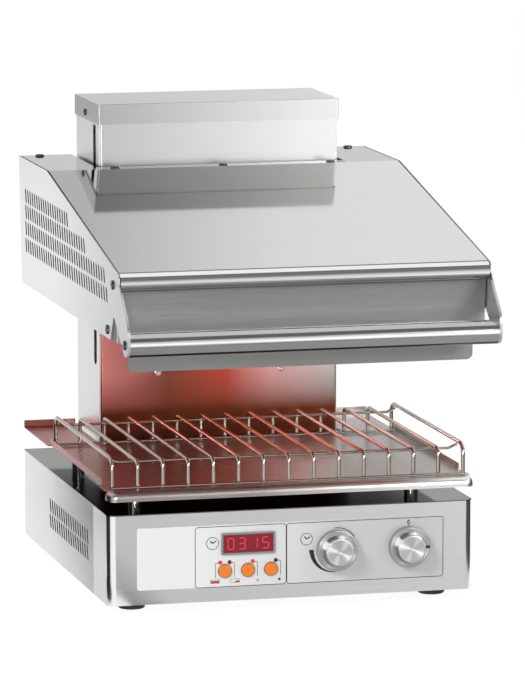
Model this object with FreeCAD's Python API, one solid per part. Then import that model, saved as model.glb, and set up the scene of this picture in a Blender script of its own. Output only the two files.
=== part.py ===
import FreeCAD, Part
import math
import os

Vector = FreeCAD.Vector

# Salamander grill. All sizes in mm. X to the right, Y to the back, Z up from the floor.
# Y is counted from the front of the base and moved to the middle when the files are saved.

# Base
BASE_WIDTH = 475.0
BASE_DEPTH = 511.0
BASE_HEIGHT = 127.5
FOOT_HEIGHT = 12.0
FOOT_RADIUS = 17.25
FOOT_INSET_X = 40.5
FOOT_INSET_Y = 48.0
PANEL_SHEET = 1.0
TOP_SHEET = 1.2
TOP_OVERHANG = 1.0
BASE_CORNER = 10.0
FRONT_WRAP = 86.0
SEAM_GAP = 0.3
PAN_FLANGE = 18.0

# Slanted vent slots
VENT_WIDTH = 6.4
VENT_HEIGHT = 19.4
VENT_SLANT = 18.0
BASE_VENT_PITCH = 14.1
BASE_VENT_START = 121.0
BASE_VENT_COUNT = 17
BASE_VENT_ROWS = [79.5, 59.0]
HOOD_VENT_PITCH = 14.4

# Controls
FOIL_HALF_WIDTH = 200.5
FOIL_BOTTOM = 30.5
FOIL_TOP = 109.5
FOIL_SHEET = 0.6
FOIL_CORNER = 3.0
DISPLAY_X = -57.0
DISPLAY_Z = 85.0
DISPLAY_WIDTH = 70.0
DISPLAY_HEIGHT = 28.0
DISPLAY_FRAME = 2.5
DISPLAY_RAISE = 1.6
WINDOW_SHEET = 1.0
WINDOW_LAP = 1.5
MODULE_CLEARANCE = 0.5
BUTTON_X = [-87.1, -57.2, -27.3]
BUTTON_Z = 50.5
BUTTON_RADIUS = 8.0
BUTTON_CLEARANCE = 0.3
BUTTON_FLANGE = 9.0
BUTTON_RAISE = 2.4
BUTTON_TRAVEL = 0.8
LAMP_X = [-93.3, -81.0, -51.1, -21.0]
LAMP_Z = 61.5
LAMP_RADIUS = 2.5
LAMP_CLEARANCE = 0.2
BOARD_FRONT = 14.0
BOARD_SHEET = 1.6
SWITCH_FRONT = 9.0

# Knobs
TIMER_X = 58.0
POWER_X = 152.9
KNOB_Z = 70.8
KNOB_RADIUS = 26.2
KNOB_GRIP = 20.0
KNOB_FACE = 17.8
KNOB_GAP = 0.4
KNOB_SKIRT = 8.0
KNOB_HEIGHT = 19.5
KNOB_CONE = 0.8
SHAFT_RADIUS = 3.0
SHAFT_CLEARANCE = 0.05
NECK_RADIUS = 5.0
SWITCH_BODY = 44.0
SWITCH_DEPTH = 26.0

# Tray, its posts and the grid
POST_RADIUS = 8.75
POST_COLUMN_GAP = 11.25
POST_FRONT_Y = 91.0
POST_REAR_Y = 430.0
TRAY_TOP = 157.5
TRAY_SHEET = 1.2
TRAY_REACH = 0.5
TRAY_FRONT = -8.0
TRAY_BACK_REACH = 1.0
TRAY_LIP = 12.0
TRAY_CORNER = 11.0
TRAY_ROLL = 8.0
TRAY_WRAP = 22.0
TRAY_REAR_FOLD = 30.0
TRAY_BACK_LIP = 9.0
TRAY_WALL_INSET = 3.5
TRAY_WALL_TOP = 166.0
TRAY_WALL_FRONT = 50.0
TRAY_WALL_BACK = 360.0
GRID_BARS = 15
GRID_INSET = 9.0
GRID_WIRE = 2.5
GRID_CROSS = 1.75
GRID_LOW_RISE = 2.5
GRID_FRONT = 15.0
GRID_BACK = 352.0
GRID_TOP = 195.0
GRID_OUTER_RISE = 4.5
GRID_BEND = 9.0
GRID_OUTER_BEND = 14.0
WELD_DEPTH = 0.4

# Column
COLUMN_HALF_WIDTH = 162.0
COLUMN_FRONT = 382.0
COLUMN_BACK = 524.0
COLUMN_SHEET = 1.2
COLUMN_SEAM = 4.0
COLUMN_TOP = 602.3
CAP_GAP = 0.4
CAP_SHEET = 1.2
CAP_SKIRT = 26.5
SLOT_FRONT = 402.0
SLOT_WIDTH = 17.0
SLOT_BOTTOM = 255.0
SLOT_TOP = 574.0
FOOT_PLATE = 4.0
TOP_PLATE_Z = 576.0

# Lift
LIFT_DOWN = 110.0
LIFT_UP = 50.0
ROD_RADIUS = 8.0
ROD_INSET = 52.0
BUSH_WALL = 3.0
BUSH_CLEARANCE = 0.06
HOUSING_WALL = 4.0
CARRIAGE_BOTTOM = 370.0
CARRIAGE_HEIGHT = 100.0
ARM_THICKNESS = 12.0
GAS_SPACING = 50.0
GAS_Y = 440.0
GAS_TUBE = 11.0
GAS_BORE = 8.5
GAS_ROD = 5.0
GAS_END = 8.0
GAS_SPARE = 6.0
PISTON_HEIGHT = 6.0
LUG_Z = 440.0
STOP_HEIGHT = 20.0

# Hood
HOOD_HALF_WIDTH = 239.0
HOOD_SIDE = 1.5
HOOD_SHEET = 1.2
HOOD_TOP = 522.0
HOOD_BOTTOM = 354.0
HOOD_BACK_TOP = 530.0
HOOD_BACK_BOTTOM = 515.0
HOOD_BEND_Y = 350.5
NOSE_FRONT = -75.0
NOSE_DROP = 81.1
NOSE_RADIUS = 14.0
NOSE_FOOT_RADIUS = 8.5
NOSE_HEIGHT = 22.5
NOSE_LIP = 14.0
HOOD_BEND = 8.0
HOOD_REVEAL = 1.0
PASSAGE_GAP = 6.0
TAB_HALF = 10.0
TAB_REACH = 6.5
HANDLE_Y = -107.0
HANDLE_Z = 359.0
HANDLE_RADIUS = 15.0
HANDLE_WALL = 1.5
NOTCH_Y = -44.5
NOTCH_HEIGHT = 33.0
ARM_EDGE = 3.5
FRONT_PANEL_Y = -50.0
FRONT_PANEL_Z = 353.0
FRONT_PANEL_HEIGHT = 74.0
FRONT_PANEL_LEAN = 6.2
TONGUE_INSET = 17.0
TONGUE_BOTTOM = 316.0
FRAME_FRONT = -48.5
GLASS_INSET = 24.0
GLASS_FRONT = -5.0
GLASS_COLUMN_GAP = 27.0
GLASS_LAP = 10.0
GLASS_SHEET = 4.0
DISH_HEIGHT = 22.0
DISH_WALL = 3.0
RIBBON_HEIGHT = 7.0

# Screws
SCREW_FIT = 0.1
DOME_RADIUS = 6.0
DOME_HEIGHT = 2.4
DOME_SHANK = 2.5
DOME_LENGTH = 9.0
TOP_SCREW_INSET = 16.0
TOP_SCREW_SETBACK = 23.5
REAR_SCREW_INSET = 26.0
REAR_SCREW_SETBACK = 12.0
SIDE_SCREWS = [(-41.0, 425.0), (-10.0, 365.0)]
BASE_SCREW_RADIUS = 2.5
BASE_SCREW_HEAD = 4.6
BASE_SCREW_LENGTH = 15.0
FOOT_RECESS = 5.0
COLUMN_SCREW_RADIUS = 2.0
COLUMN_SCREW_HEAD = 4.6
COLUMN_SCREW_LENGTH = 9.0
FRONT_SCREW_INSET = 78.0
FRONT_SCREW_Z = 244.7
CAP_SCREW_Y = 459.0
CAP_SCREW_Z = 586.0
BOLT_RADIUS = 3.0

# Electrics in the base
GLAND_X = -150.0
GLAND_Z = 48.0
GLAND_RADIUS = 8.0
GLAND_BORE = 4.5

base_bottom = FOOT_HEIGHT
panel_top = BASE_HEIGHT - TOP_SHEET
half_base = BASE_WIDTH / 2
tray_half_width = half_base + TRAY_REACH
tray_back = BASE_DEPTH + TRAY_BACK_REACH
tray_wall_x = tray_half_width - TRAY_WALL_INSET
grid_half_width = tray_half_width - GRID_INSET
passage_half_width = COLUMN_HALF_WIDTH + PASSAGE_GAP
passage_front = COLUMN_FRONT - PASSAGE_GAP
post_x = COLUMN_HALF_WIDTH + POST_COLUMN_GAP + POST_RADIUS
rod_x = COLUMN_HALF_WIDTH - ROD_INSET
gas_x = rod_x - GAS_SPACING
tongue_half_width = HOOD_HALF_WIDTH - TONGUE_INSET
glass_half_width = HOOD_HALF_WIDTH - GLASS_INSET
glass_back = COLUMN_FRONT - GLASS_COLUMN_GAP
front_screw_x = COLUMN_HALF_WIDTH - FRONT_SCREW_INSET
inner_base = half_base - PANEL_SHEET
tray_under = TRAY_TOP - TRAY_SHEET
hood_inner = HOOD_HALF_WIDTH - HOOD_SIDE
hood_under = HOOD_TOP - HOOD_SHEET
rod_y = SLOT_FRONT + SLOT_WIDTH / 2
frame_top = HOOD_BOTTOM + 1.0 + HOOD_SHEET
handle_front = HANDLE_Y - HANDLE_RADIUS
mid_y = (handle_front + HOOD_BACK_TOP) / 2
top_screw_x = COLUMN_HALF_WIDTH - TOP_SCREW_INSET
top_screw_y = COLUMN_FRONT - TOP_SCREW_SETBACK
rear_screw_x = HOOD_HALF_WIDTH - REAR_SCREW_INSET
rear_screw_y = HOOD_BACK_TOP - REAR_SCREW_SETBACK
front_row = [(-top_screw_x, top_screw_y), (0.0, top_screw_y), (top_screw_x, top_screw_y)]
top_screws = front_row + [(-rear_screw_x, rear_screw_y), (rear_screw_x, rear_screw_y)]
pan_floor = base_bottom + TOP_SHEET
foot_top = BASE_HEIGHT + FOOT_PLATE
housing_radius = ROD_RADIUS + BUSH_WALL + HOUSING_WALL
carriage_top = CARRIAGE_BOTTOM + CARRIAGE_HEIGHT
piston_low = foot_top + GAS_END + LIFT_DOWN + GAS_SPARE
tube_inner_top = piston_low + PISTON_HEIGHT + LIFT_UP + GAS_SPARE
dish_low = frame_top + GLASS_SHEET
dish_top = dish_low + DISH_HEIGHT


def box(x0, x1, y0, y1, z0, z1):
    return Part.makeBox(x1 - x0, y1 - y0, z1 - z0, Vector(x0, y0, z0))


def rod(radius, start, end):
    line = end - start
    return Part.makeCylinder(radius, line.Length, start, line)


def joined(shapes):
    body = shapes[0].fuse(shapes[1:])
    return body.removeSplitter()


def in_plane(plane, u, v, level):
    if plane == "xy":
        return Vector(u, v, level)
    if plane == "xz":
        return Vector(u, level, v)
    return Vector(level, u, v)


def outline(points, radii, plane, level):
    """A closed wire through the points, with each corner rounded by its radius."""
    count = len(points)
    stops = []
    for index in range(count):
        at = Vector(points[index][0], points[index][1], 0)
        before = Vector(points[index - 1][0], points[index - 1][1], 0) - at
        after_point = points[(index + 1) % count]
        after = Vector(after_point[0], after_point[1], 0) - at
        radius = radii[index]
        if radius == 0:
            stops.append((at, None, at))
            continue
        before.normalize()
        after.normalize()
        half = before.getAngle(after) / 2
        reach = radius / math.tan(half)
        towards = before + after
        towards.normalize()
        centre = at + towards * (radius / math.sin(half))
        middle = centre - towards * radius
        stops.append((at + before * reach, middle, at + after * reach))
    edges = []
    for index in range(count):
        first, middle, last = stops[index]
        following = stops[(index + 1) % count][0]
        a = in_plane(plane, first.x, first.y, level)
        b = in_plane(plane, last.x, last.y, level)
        c = in_plane(plane, following.x, following.y, level)
        if middle is not None:
            m = in_plane(plane, middle.x, middle.y, level)
            edges.append(Part.Arc(a, m, b).toShape())
        if b.distanceToPoint(c) > 0.001:
            edges.append(Part.makeLine(b, c))
    return Part.Wire(edges)


def slab(points, radii, plane, start, end):
    """The outline as a solid between two levels of its plane."""
    face = Part.Face(outline(points, radii, plane, start))
    along = in_plane(plane, 0, 0, end) - in_plane(plane, 0, 0, start)
    return face.extrude(along)


def rounded_box(x0, x1, y0, y1, z0, z1, radius):
    corners = [(x0, y0), (x1, y0), (x1, y1), (x0, y1)]
    return slab(corners, [radius] * 4, "xy", z0, z1)


def folded(path, sheet, bend, plane, start, end):
    """A bent sheet. The path is one face, the sheet lies to its left and bend is the inner radius."""
    steps = []
    for index in range(len(path) - 1):
        step = Vector(path[index + 1][0] - path[index][0], path[index + 1][1] - path[index][1], 0)
        step.normalize()
        steps.append(step)
    other = []
    path_radii = []
    other_radii = []
    for index in range(len(path)):
        into = steps[max(index - 1, 0)]
        out = steps[min(index, len(steps) - 1)]
        normal_in = Vector(-into.y, into.x, 0)
        normal_out = Vector(-out.y, out.x, 0)
        shift = (normal_in + normal_out) * (sheet / (1 + normal_in.dot(normal_out)))
        other.append((path[index][0] + shift.x, path[index][1] + shift.y))
        turn = into.x * out.y - into.y * out.x
        if abs(turn) < 0.0001:
            path_radii.append(0)
            other_radii.append(0)
        elif turn > 0:
            path_radii.append(bend + sheet)
            other_radii.append(bend)
        else:
            path_radii.append(bend)
            other_radii.append(bend + sheet)
    points = path + other[::-1]
    return slab(points, path_radii + other_radii[::-1], plane, start, end)


def slot_hole(y, z, x0, x1):
    """One slanted slot with round ends, its lower end towards the front."""
    slant = math.radians(VENT_SLANT)
    radius = VENT_WIDTH / 2
    reach = (VENT_HEIGHT / 2 - radius) / math.cos(slant)
    along = Vector(0, math.sin(slant), math.cos(slant))
    across = Vector(0, math.cos(slant), -math.sin(slant)) * radius
    centre = Vector(x0, y, z)
    top = centre + along * reach
    low = centre - along * reach
    edges = [
        Part.makeLine(low - across, top - across),
        Part.Arc(top - across, top + along * radius, top + across).toShape(),
        Part.makeLine(top + across, low + across),
        Part.Arc(low + across, low - along * radius, low - across).toShape(),
    ]
    return Part.Face(Part.Wire(edges)).extrude(Vector(x1 - x0, 0, 0))


def slot_row(first_y, pitch, count, z, x0, x1):
    return [slot_hole(first_y + pitch * index, z, x0, x1) for index in range(count)]


def mirrored(shape):
    return shape.mirror(Vector(0, 0, 0), Vector(1, 0, 0))


def both_sides(shape):
    return Part.makeCompound([shape, mirrored(shape)])


def screw(head_radius, head_height, shank_radius, length, seat, into):
    """A domed screw whose head sits at the seat and whose shank runs along into."""
    head = Part.makeCylinder(head_radius, head_height, seat, into * -1)
    rim = [edge for edge in head.Edges if len(edge.Vertexes) == 1]
    outer = max(rim, key=lambda edge: edge.CenterOfMass.dot(into * -1))
    head = head.makeFillet(head_height * 0.7, [outer])
    drive = Part.makeCylinder(head_radius * 0.36, head_height * 0.5, seat - into * head_height, into)
    shank = Part.makeCylinder(shank_radius, length, seat, into)
    return head.cut(drive).fuse(shank).removeSplitter()


def bored(shape, radius, seat, into, length):
    return shape.cut(Part.makeCylinder(radius, length, seat, into))


# Base shell
def make_front_panel():
    path = [(-half_base, FRONT_WRAP), (-half_base, 0), (half_base, 0), (half_base, FRONT_WRAP)]
    panel = folded(path, PANEL_SHEET, BASE_CORNER - PANEL_SHEET, "xy", base_bottom, panel_top)
    return panel.cut(control_holes(NECK_RADIUS + BUTTON_CLEARANCE))


def control_holes(shaft_hole):
    """Openings for the display, the buttons, the lamps and the two shafts."""
    half_window = DISPLAY_WIDTH / 2 - DISPLAY_FRAME - WINDOW_LAP
    half_rise = DISPLAY_HEIGHT / 2 - DISPLAY_FRAME - WINDOW_LAP
    start = -FOIL_SHEET - 1
    end = PANEL_SHEET + 1
    left = DISPLAY_X - half_window
    right = DISPLAY_X + half_window
    holes = [box(left, right, start, end, DISPLAY_Z - half_rise, DISPLAY_Z + half_rise)]
    forward = Vector(0, end - start, 0)
    for x in BUTTON_X:
        seat = Vector(x, start, BUTTON_Z)
        holes.append(rod(BUTTON_RADIUS + BUTTON_CLEARANCE, seat, seat + forward))
    for x in LAMP_X:
        seat = Vector(x, start, LAMP_Z)
        holes.append(rod(LAMP_RADIUS + LAMP_CLEARANCE, seat, seat + forward))
    for x in [TIMER_X, POWER_X]:
        seat = Vector(x, start, KNOB_Z)
        holes.append(rod(shaft_hole, seat, seat + forward))
    return Part.makeCompound(holes)


def make_side():
    side = box(inner_base, half_base, FRONT_WRAP + SEAM_GAP, BASE_DEPTH, base_bottom, panel_top)
    holes = []
    for z in BASE_VENT_ROWS:
        holes += slot_row(BASE_VENT_START, BASE_VENT_PITCH, BASE_VENT_COUNT, z, inner_base - 1, half_base + 1)
    return side.cut(Part.makeCompound(holes))


def make_back_panel():
    inner = BASE_DEPTH - PANEL_SHEET
    panel = box(-inner_base, inner_base, inner, BASE_DEPTH, base_bottom, panel_top)
    return bored(panel, GLAND_RADIUS + SCREW_FIT, Vector(GLAND_X, inner - 1, GLAND_Z), Vector(0, 1, 0), 4)


def foot_places():
    x = half_base - FOOT_INSET_X
    rear = BASE_DEPTH - FOOT_INSET_Y
    return [(-x, FOOT_INSET_Y), (x, FOOT_INSET_Y), (-x, rear), (x, rear)]


def post_places():
    places = []
    for y in [POST_FRONT_Y, POST_REAR_Y]:
        places += [(-post_x, y), (post_x, y)]
    return places


def make_bottom_plate():
    back = BASE_DEPTH - PANEL_SHEET
    outer_corner = BASE_CORNER - PANEL_SHEET
    corners = [(-inner_base, PANEL_SHEET), (inner_base, PANEL_SHEET), (inner_base, back), (-inner_base, back)]
    radii = [outer_corner, outer_corner, 0, 0]
    outer = slab(corners, radii, "xy", base_bottom, base_bottom + PAN_FLANGE)
    edge = TOP_SHEET
    x = inner_base - edge
    inside = [(-x, PANEL_SHEET + edge), (x, PANEL_SHEET + edge), (x, back - edge), (-x, back - edge)]
    inner_radii = [outer_corner - edge, outer_corner - edge, edge, edge]
    hollow = slab(inside, inner_radii, "xy", base_bottom + edge, base_bottom + PAN_FLANGE + 1)
    pan = outer.cut(hollow)
    for x, y in foot_places():
        pan = bored(pan, BASE_SCREW_RADIUS + SCREW_FIT, Vector(x, y, 0), Vector(0, 0, 1), base_bottom + 5)
    return pan


def make_base_top():
    x = half_base + TOP_OVERHANG
    front = -TOP_OVERHANG
    back = BASE_DEPTH + TOP_OVERHANG
    corners = [(-x, front), (x, front), (x, back), (-x, back)]
    corner = BASE_CORNER + TOP_OVERHANG
    plate = slab(corners, [corner, corner, 2, 2], "xy", panel_top, BASE_HEIGHT)
    for x, y in post_places():
        seat = Vector(x, y, panel_top - 1)
        plate = bored(plate, BASE_SCREW_RADIUS + SCREW_FIT, seat, Vector(0, 0, 1), TOP_SHEET + 2)
    return plate


def make_feet():
    feet = []
    for x, y in foot_places():
        foot = Part.makeCylinder(FOOT_RADIUS, FOOT_HEIGHT, Vector(x, y, 0))
        low = [edge for edge in foot.Edges if len(edge.Vertexes) == 1 and edge.CenterOfMass.z < 0.1]
        foot = foot.makeChamfer(1.5, low)
        up = Vector(0, 0, 1)
        foot = bored(foot, BASE_SCREW_HEAD + 0.4, Vector(x, y, -1), up, FOOT_RECESS + 1)
        feet.append(bored(foot, BASE_SCREW_RADIUS + SCREW_FIT, Vector(x, y, -1), up, FOOT_HEIGHT + 2))
    return Part.makeCompound(feet)


def make_base_screws():
    up = Vector(0, 0, 1)
    screws = []
    for x, y in foot_places():
        seat = Vector(x, y, FOOT_RECESS)
        screws.append(screw(BASE_SCREW_HEAD, 3.0, BASE_SCREW_RADIUS, BASE_SCREW_LENGTH, seat, up))
    for x, y in post_places():
        seat = Vector(x, y, panel_top)
        screws.append(screw(BASE_SCREW_HEAD, 3.0, BASE_SCREW_RADIUS, BASE_SCREW_LENGTH, seat, up))
    return Part.makeCompound(screws)


# Controls
def make_foil():
    x = FOIL_HALF_WIDTH
    corners = [(-x, FOIL_BOTTOM), (x, FOIL_BOTTOM), (x, FOIL_TOP), (-x, FOIL_TOP)]
    foil = slab(corners, [FOIL_CORNER] * 4, "xz", -FOIL_SHEET, 0)
    return foil.cut(control_holes(NECK_RADIUS + BUTTON_CLEARANCE))


def display_block(inset_x, inset_z, start, end, corner):
    half_x = DISPLAY_WIDTH / 2 - inset_x
    half_z = DISPLAY_HEIGHT / 2 - inset_z
    left = DISPLAY_X - half_x
    right = DISPLAY_X + half_x
    low = DISPLAY_Z - half_z
    high = DISPLAY_Z + half_z
    corners = [(left, low), (right, low), (right, high), (left, high)]
    return slab(corners, [corner] * 4, "xz", start, end)


def make_bezel():
    front = -FOIL_SHEET - DISPLAY_RAISE
    frame = display_block(0, 0, front, -FOIL_SHEET, 2.0)
    hole = display_block(DISPLAY_FRAME, DISPLAY_FRAME, front - 1, 0, 0)
    return frame.cut(hole)


def make_window():
    front = -FOIL_SHEET - WINDOW_SHEET
    return display_block(DISPLAY_FRAME, DISPLAY_FRAME, front, -FOIL_SHEET, 0)


def make_module():
    inset_x = DISPLAY_FRAME + WINDOW_LAP + MODULE_CLEARANCE
    inset_z = DISPLAY_FRAME + WINDOW_LAP + MODULE_CLEARANCE
    return display_block(inset_x, inset_z, -FOIL_SHEET + 0.3, BOARD_FRONT, 0)


def board_corners():
    x0 = min(LAMP_X) - 14
    x1 = max(LAMP_X) + 12
    z0 = BUTTON_Z - 12
    z1 = DISPLAY_Z + DISPLAY_HEIGHT / 2 + 7
    return x0, x1, z0, z1


def make_board():
    x0, x1, z0, z1 = board_corners()
    return box(x0, x1, BOARD_FRONT, BOARD_FRONT + BOARD_SHEET, z0, z1)


def make_spacers():
    x0, x1, z0, z1 = board_corners()
    spacers = []
    for x in [x0 + 4, x1 - 4]:
        for z in [z0 + 4, z1 - 4]:
            spacers.append(rod(3, Vector(x, PANEL_SHEET, z), Vector(x, BOARD_FRONT, z)))
    return Part.makeCompound(spacers)


def make_key_switches():
    half = 6
    return Part.makeCompound([
        box(x - half, x + half, SWITCH_FRONT, BOARD_FRONT, BUTTON_Z - half, BUTTON_Z + half)
        for x in BUTTON_X
    ])


def make_button(x):
    """A round cap with a collar behind the sheet and a stem that reaches the switch."""
    front = -FOIL_SHEET - BUTTON_RAISE
    collar = PANEL_SHEET + BUTTON_CLEARANCE
    cap = rod(BUTTON_RADIUS, Vector(x, front, BUTTON_Z), Vector(x, collar, BUTTON_Z))
    rim = [edge for edge in cap.Edges if len(edge.Vertexes) == 1 and edge.CenterOfMass.y < front + 0.1]
    cap = cap.makeFillet(0.8, rim)
    ring = rod(BUTTON_FLANGE, Vector(x, collar, BUTTON_Z), Vector(x, collar + 1.2, BUTTON_Z))
    stem_end = SWITCH_FRONT - BUTTON_TRAVEL - 0.1
    stem = rod(2.5, Vector(x, collar, BUTTON_Z), Vector(x, stem_end, BUTTON_Z))
    return joined([cap, ring, stem])


def make_lamps():
    lamps = []
    front = -FOIL_SHEET - 0.8
    for x in LAMP_X:
        lamp = rod(LAMP_RADIUS, Vector(x, front, LAMP_Z), Vector(x, BOARD_FRONT, LAMP_Z))
        rim = [edge for edge in lamp.Edges if len(edge.Vertexes) == 1 and edge.CenterOfMass.y < front + 0.1]
        lamps.append(lamp.makeFillet(1.2, rim))
    return Part.makeCompound(lamps)


def make_knob(x):
    """A turned knob: broad skirt, tapered grip and a face that is dished a little."""
    back = -FOIL_SHEET - KNOB_GAP
    skirt = back - KNOB_SKIRT
    face = back - KNOB_HEIGHT
    points = [
        (0, back), (KNOB_RADIUS, back), (KNOB_RADIUS, skirt), (KNOB_GRIP, skirt),
        (KNOB_FACE, face), (0, face + KNOB_CONE),
    ]
    radii = [0, 0, 1.5, 1.0, 2.0, 0]
    section = Part.Face(outline(points, radii, "xy", 0))
    knob = section.revolve(Vector(0, 0, 0), Vector(0, 1, 0), 360)
    knob.translate(Vector(x, 0, KNOB_Z))
    bore_end = face + 5
    bore = rod(SHAFT_RADIUS, Vector(x, bore_end, KNOB_Z), Vector(x, 0, KNOB_Z))
    return knob.cut(bore)


def make_shaft(x):
    face = -FOIL_SHEET - KNOB_GAP - KNOB_HEIGHT
    return rod(SHAFT_RADIUS, Vector(x, face + 5, KNOB_Z), Vector(x, PANEL_SHEET + SWITCH_DEPTH / 2, KNOB_Z))


def make_rotary(x, depth):
    """A rotary control behind the front panel, with its neck in the panel's hole."""
    half = SWITCH_BODY / 2
    plate = box(x - half, x + half, PANEL_SHEET, PANEL_SHEET + 2, KNOB_Z - half, KNOB_Z + half)
    drum = rod(half - 1, Vector(x, PANEL_SHEET, KNOB_Z), Vector(x, PANEL_SHEET + depth, KNOB_Z))
    neck = rod(NECK_RADIUS, Vector(x, -FOIL_SHEET + 0.1, KNOB_Z), Vector(x, PANEL_SHEET, KNOB_Z))
    body = joined([plate, drum, neck])
    end = PANEL_SHEET + SWITCH_DEPTH / 2 + 0.5
    bore = rod(SHAFT_RADIUS + SHAFT_CLEARANCE, Vector(x, -2, KNOB_Z), Vector(x, end, KNOB_Z))
    return body.cut(bore)


# Electrics in the base
def make_gland():
    inner = BASE_DEPTH - PANEL_SHEET
    at = Vector(GLAND_X, 0, GLAND_Z)
    collar = rod(13, at + Vector(0, BASE_DEPTH, 0), at + Vector(0, BASE_DEPTH + 5, 0))
    dome = rod(10, at + Vector(0, BASE_DEPTH + 5, 0), at + Vector(0, BASE_DEPTH + 14, 0))
    thread = rod(GLAND_RADIUS, at + Vector(0, inner - 10, 0), at + Vector(0, BASE_DEPTH, 0))
    nut = rod(12, at + Vector(0, inner - 5, 0), at + Vector(0, inner, 0))
    body = joined([collar, dome, thread, nut])
    return body.cut(rod(GLAND_BORE, at + Vector(0, inner - 11, 0), at + Vector(0, BASE_DEPTH + 15, 0)))


def make_terminal_block():
    x0 = GLAND_X + 40
    y0 = BASE_DEPTH - 90
    block = box(x0, x0 + 60, y0, y0 + 22, pan_floor, pan_floor + 18)
    for index in range(5):
        seat = Vector(x0 + 6 + 12 * index, y0 + 11, pan_floor + 8)
        block = bored(block, 3, seat, Vector(0, 0, 1), 12)
    return block


def make_relay():
    x0 = 60.0
    y0 = BASE_DEPTH - 190
    body = box(x0, x0 + 46, y0, y0 + 60, pan_floor, pan_floor + 50)
    coil = box(x0 + 8, x0 + 38, y0 + 10, y0 + 50, pan_floor + 50, pan_floor + 62)
    return joined([body, coil])


def make_transformer():
    x0 = -60.0
    y0 = BASE_DEPTH - 200
    core = box(x0, x0 + 50, y0, y0 + 42, pan_floor, pan_floor + 42)
    coil = box(x0 + 10, x0 + 40, y0 - 8, y0 + 50, pan_floor + 8, pan_floor + 34)
    return joined([core, coil])


# Tray and grid
def make_posts():
    posts = []
    for x, y in post_places():
        post = Part.makeCylinder(POST_RADIUS, tray_under - BASE_HEIGHT, Vector(x, y, BASE_HEIGHT))
        reach = BASE_SCREW_LENGTH - TOP_SHEET + 1
        seat = Vector(x, y, BASE_HEIGHT)
        posts.append(bored(post, BASE_SCREW_RADIUS + SCREW_FIT, seat, Vector(0, 0, 1), reach))
    return Part.makeCompound(posts)


def make_tray():
    """Pressed sheet: lip rolled down at the front, lip up at the back, low walls at the sides."""
    lip_low = tray_under - TRAY_LIP + TRAY_SHEET
    lip_high = TRAY_TOP + TRAY_BACK_LIP
    x = tray_half_width
    floor = tray_profile(lip_low, lip_high)
    low_x = passage_half_width
    notch = box(-low_x, low_x, passage_front, tray_back + 1, lip_low - 1, lip_high + 1)
    edge_x = tray_wall_x - 2.5
    trims = [notch]
    for side in [-1, 1]:
        near = side * edge_x
        far = side * (x + 1)
        trims.append(box(min(near, far), max(near, far), TRAY_WALL_FRONT, TRAY_WALL_BACK, lip_low, lip_high))
    floor = floor.cut(trims)
    path = [(edge_x, tray_under), (tray_wall_x, tray_under), (tray_wall_x, TRAY_WALL_TOP)]
    wall = folded(path, TRAY_SHEET, 1.2, "xz", TRAY_WALL_FRONT, TRAY_WALL_BACK)
    return joined([floor, wall, mirrored(wall)])


def tray_nose(x0, x1, y0, y1, low, top, corner, roll):
    """A block with round front corners and a rolled top edge."""
    block = rounded_box(x0, x1, y0, y1, low, top, corner)
    rim = [edge for edge in block.Edges if edge.BoundBox.ZMin > top - 0.01]
    return block.makeFillet(roll, rim)


def tray_profile(lip_low, lip_high):
    x = tray_half_width
    s = TRAY_SHEET
    fold_y = tray_back - TRAY_REAR_FOLD
    wrap_y = TRAY_FRONT + TRAY_WRAP
    far_y = TRAY_FRONT + 3 * TRAY_WRAP
    outer = tray_nose(-x, x, TRAY_FRONT, far_y, lip_low, TRAY_TOP, TRAY_CORNER, TRAY_ROLL)
    inner_y = TRAY_FRONT + s
    corner = TRAY_CORNER - s
    roll = TRAY_ROLL - s
    inner = tray_nose(-x + s, x - s, inner_y, far_y - s, lip_low - 1, tray_under, corner, roll)
    front = outer.cut(inner).common(box(-x - 1, x + 1, TRAY_FRONT - 1, wrap_y, lip_low - 1, TRAY_TOP + 1))
    floor = box(-x, x, wrap_y, fold_y, tray_under, TRAY_TOP)
    back_path = [(fold_y, tray_under), (tray_back, tray_under), (tray_back, lip_high)]
    back = folded(back_path, s, 1.2, "yz", -x, x)
    return joined([front, floor, back])


def bar(x, top, bend):
    """One bar: two legs on the tray and a straight top between two bends."""
    r = GRID_WIRE
    front = rod(r, Vector(x, GRID_FRONT, TRAY_TOP), Vector(x, GRID_FRONT, top - bend))
    rear = rod(r, Vector(x, GRID_BACK, TRAY_TOP), Vector(x, GRID_BACK, top - bend))
    span = rod(r, Vector(x, GRID_FRONT + bend, top), Vector(x, GRID_BACK - bend, top))
    bends = []
    for y, turn in [(GRID_FRONT, 1), (GRID_BACK, -1)]:
        ring = Part.makeTorus(bend, r, Vector(x, y + turn * bend, top - bend), Vector(1, 0, 0))
        y0 = min(y - turn * 2 * r, y + turn * bend)
        y1 = max(y - turn * 2 * r, y + turn * bend)
        quarter = box(x - 2 * r, x + 2 * r, y0, y1, top - bend, top + 2 * r)
        bends.append(ring.common(quarter))
    return joined([front, rear, span] + bends)


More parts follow.
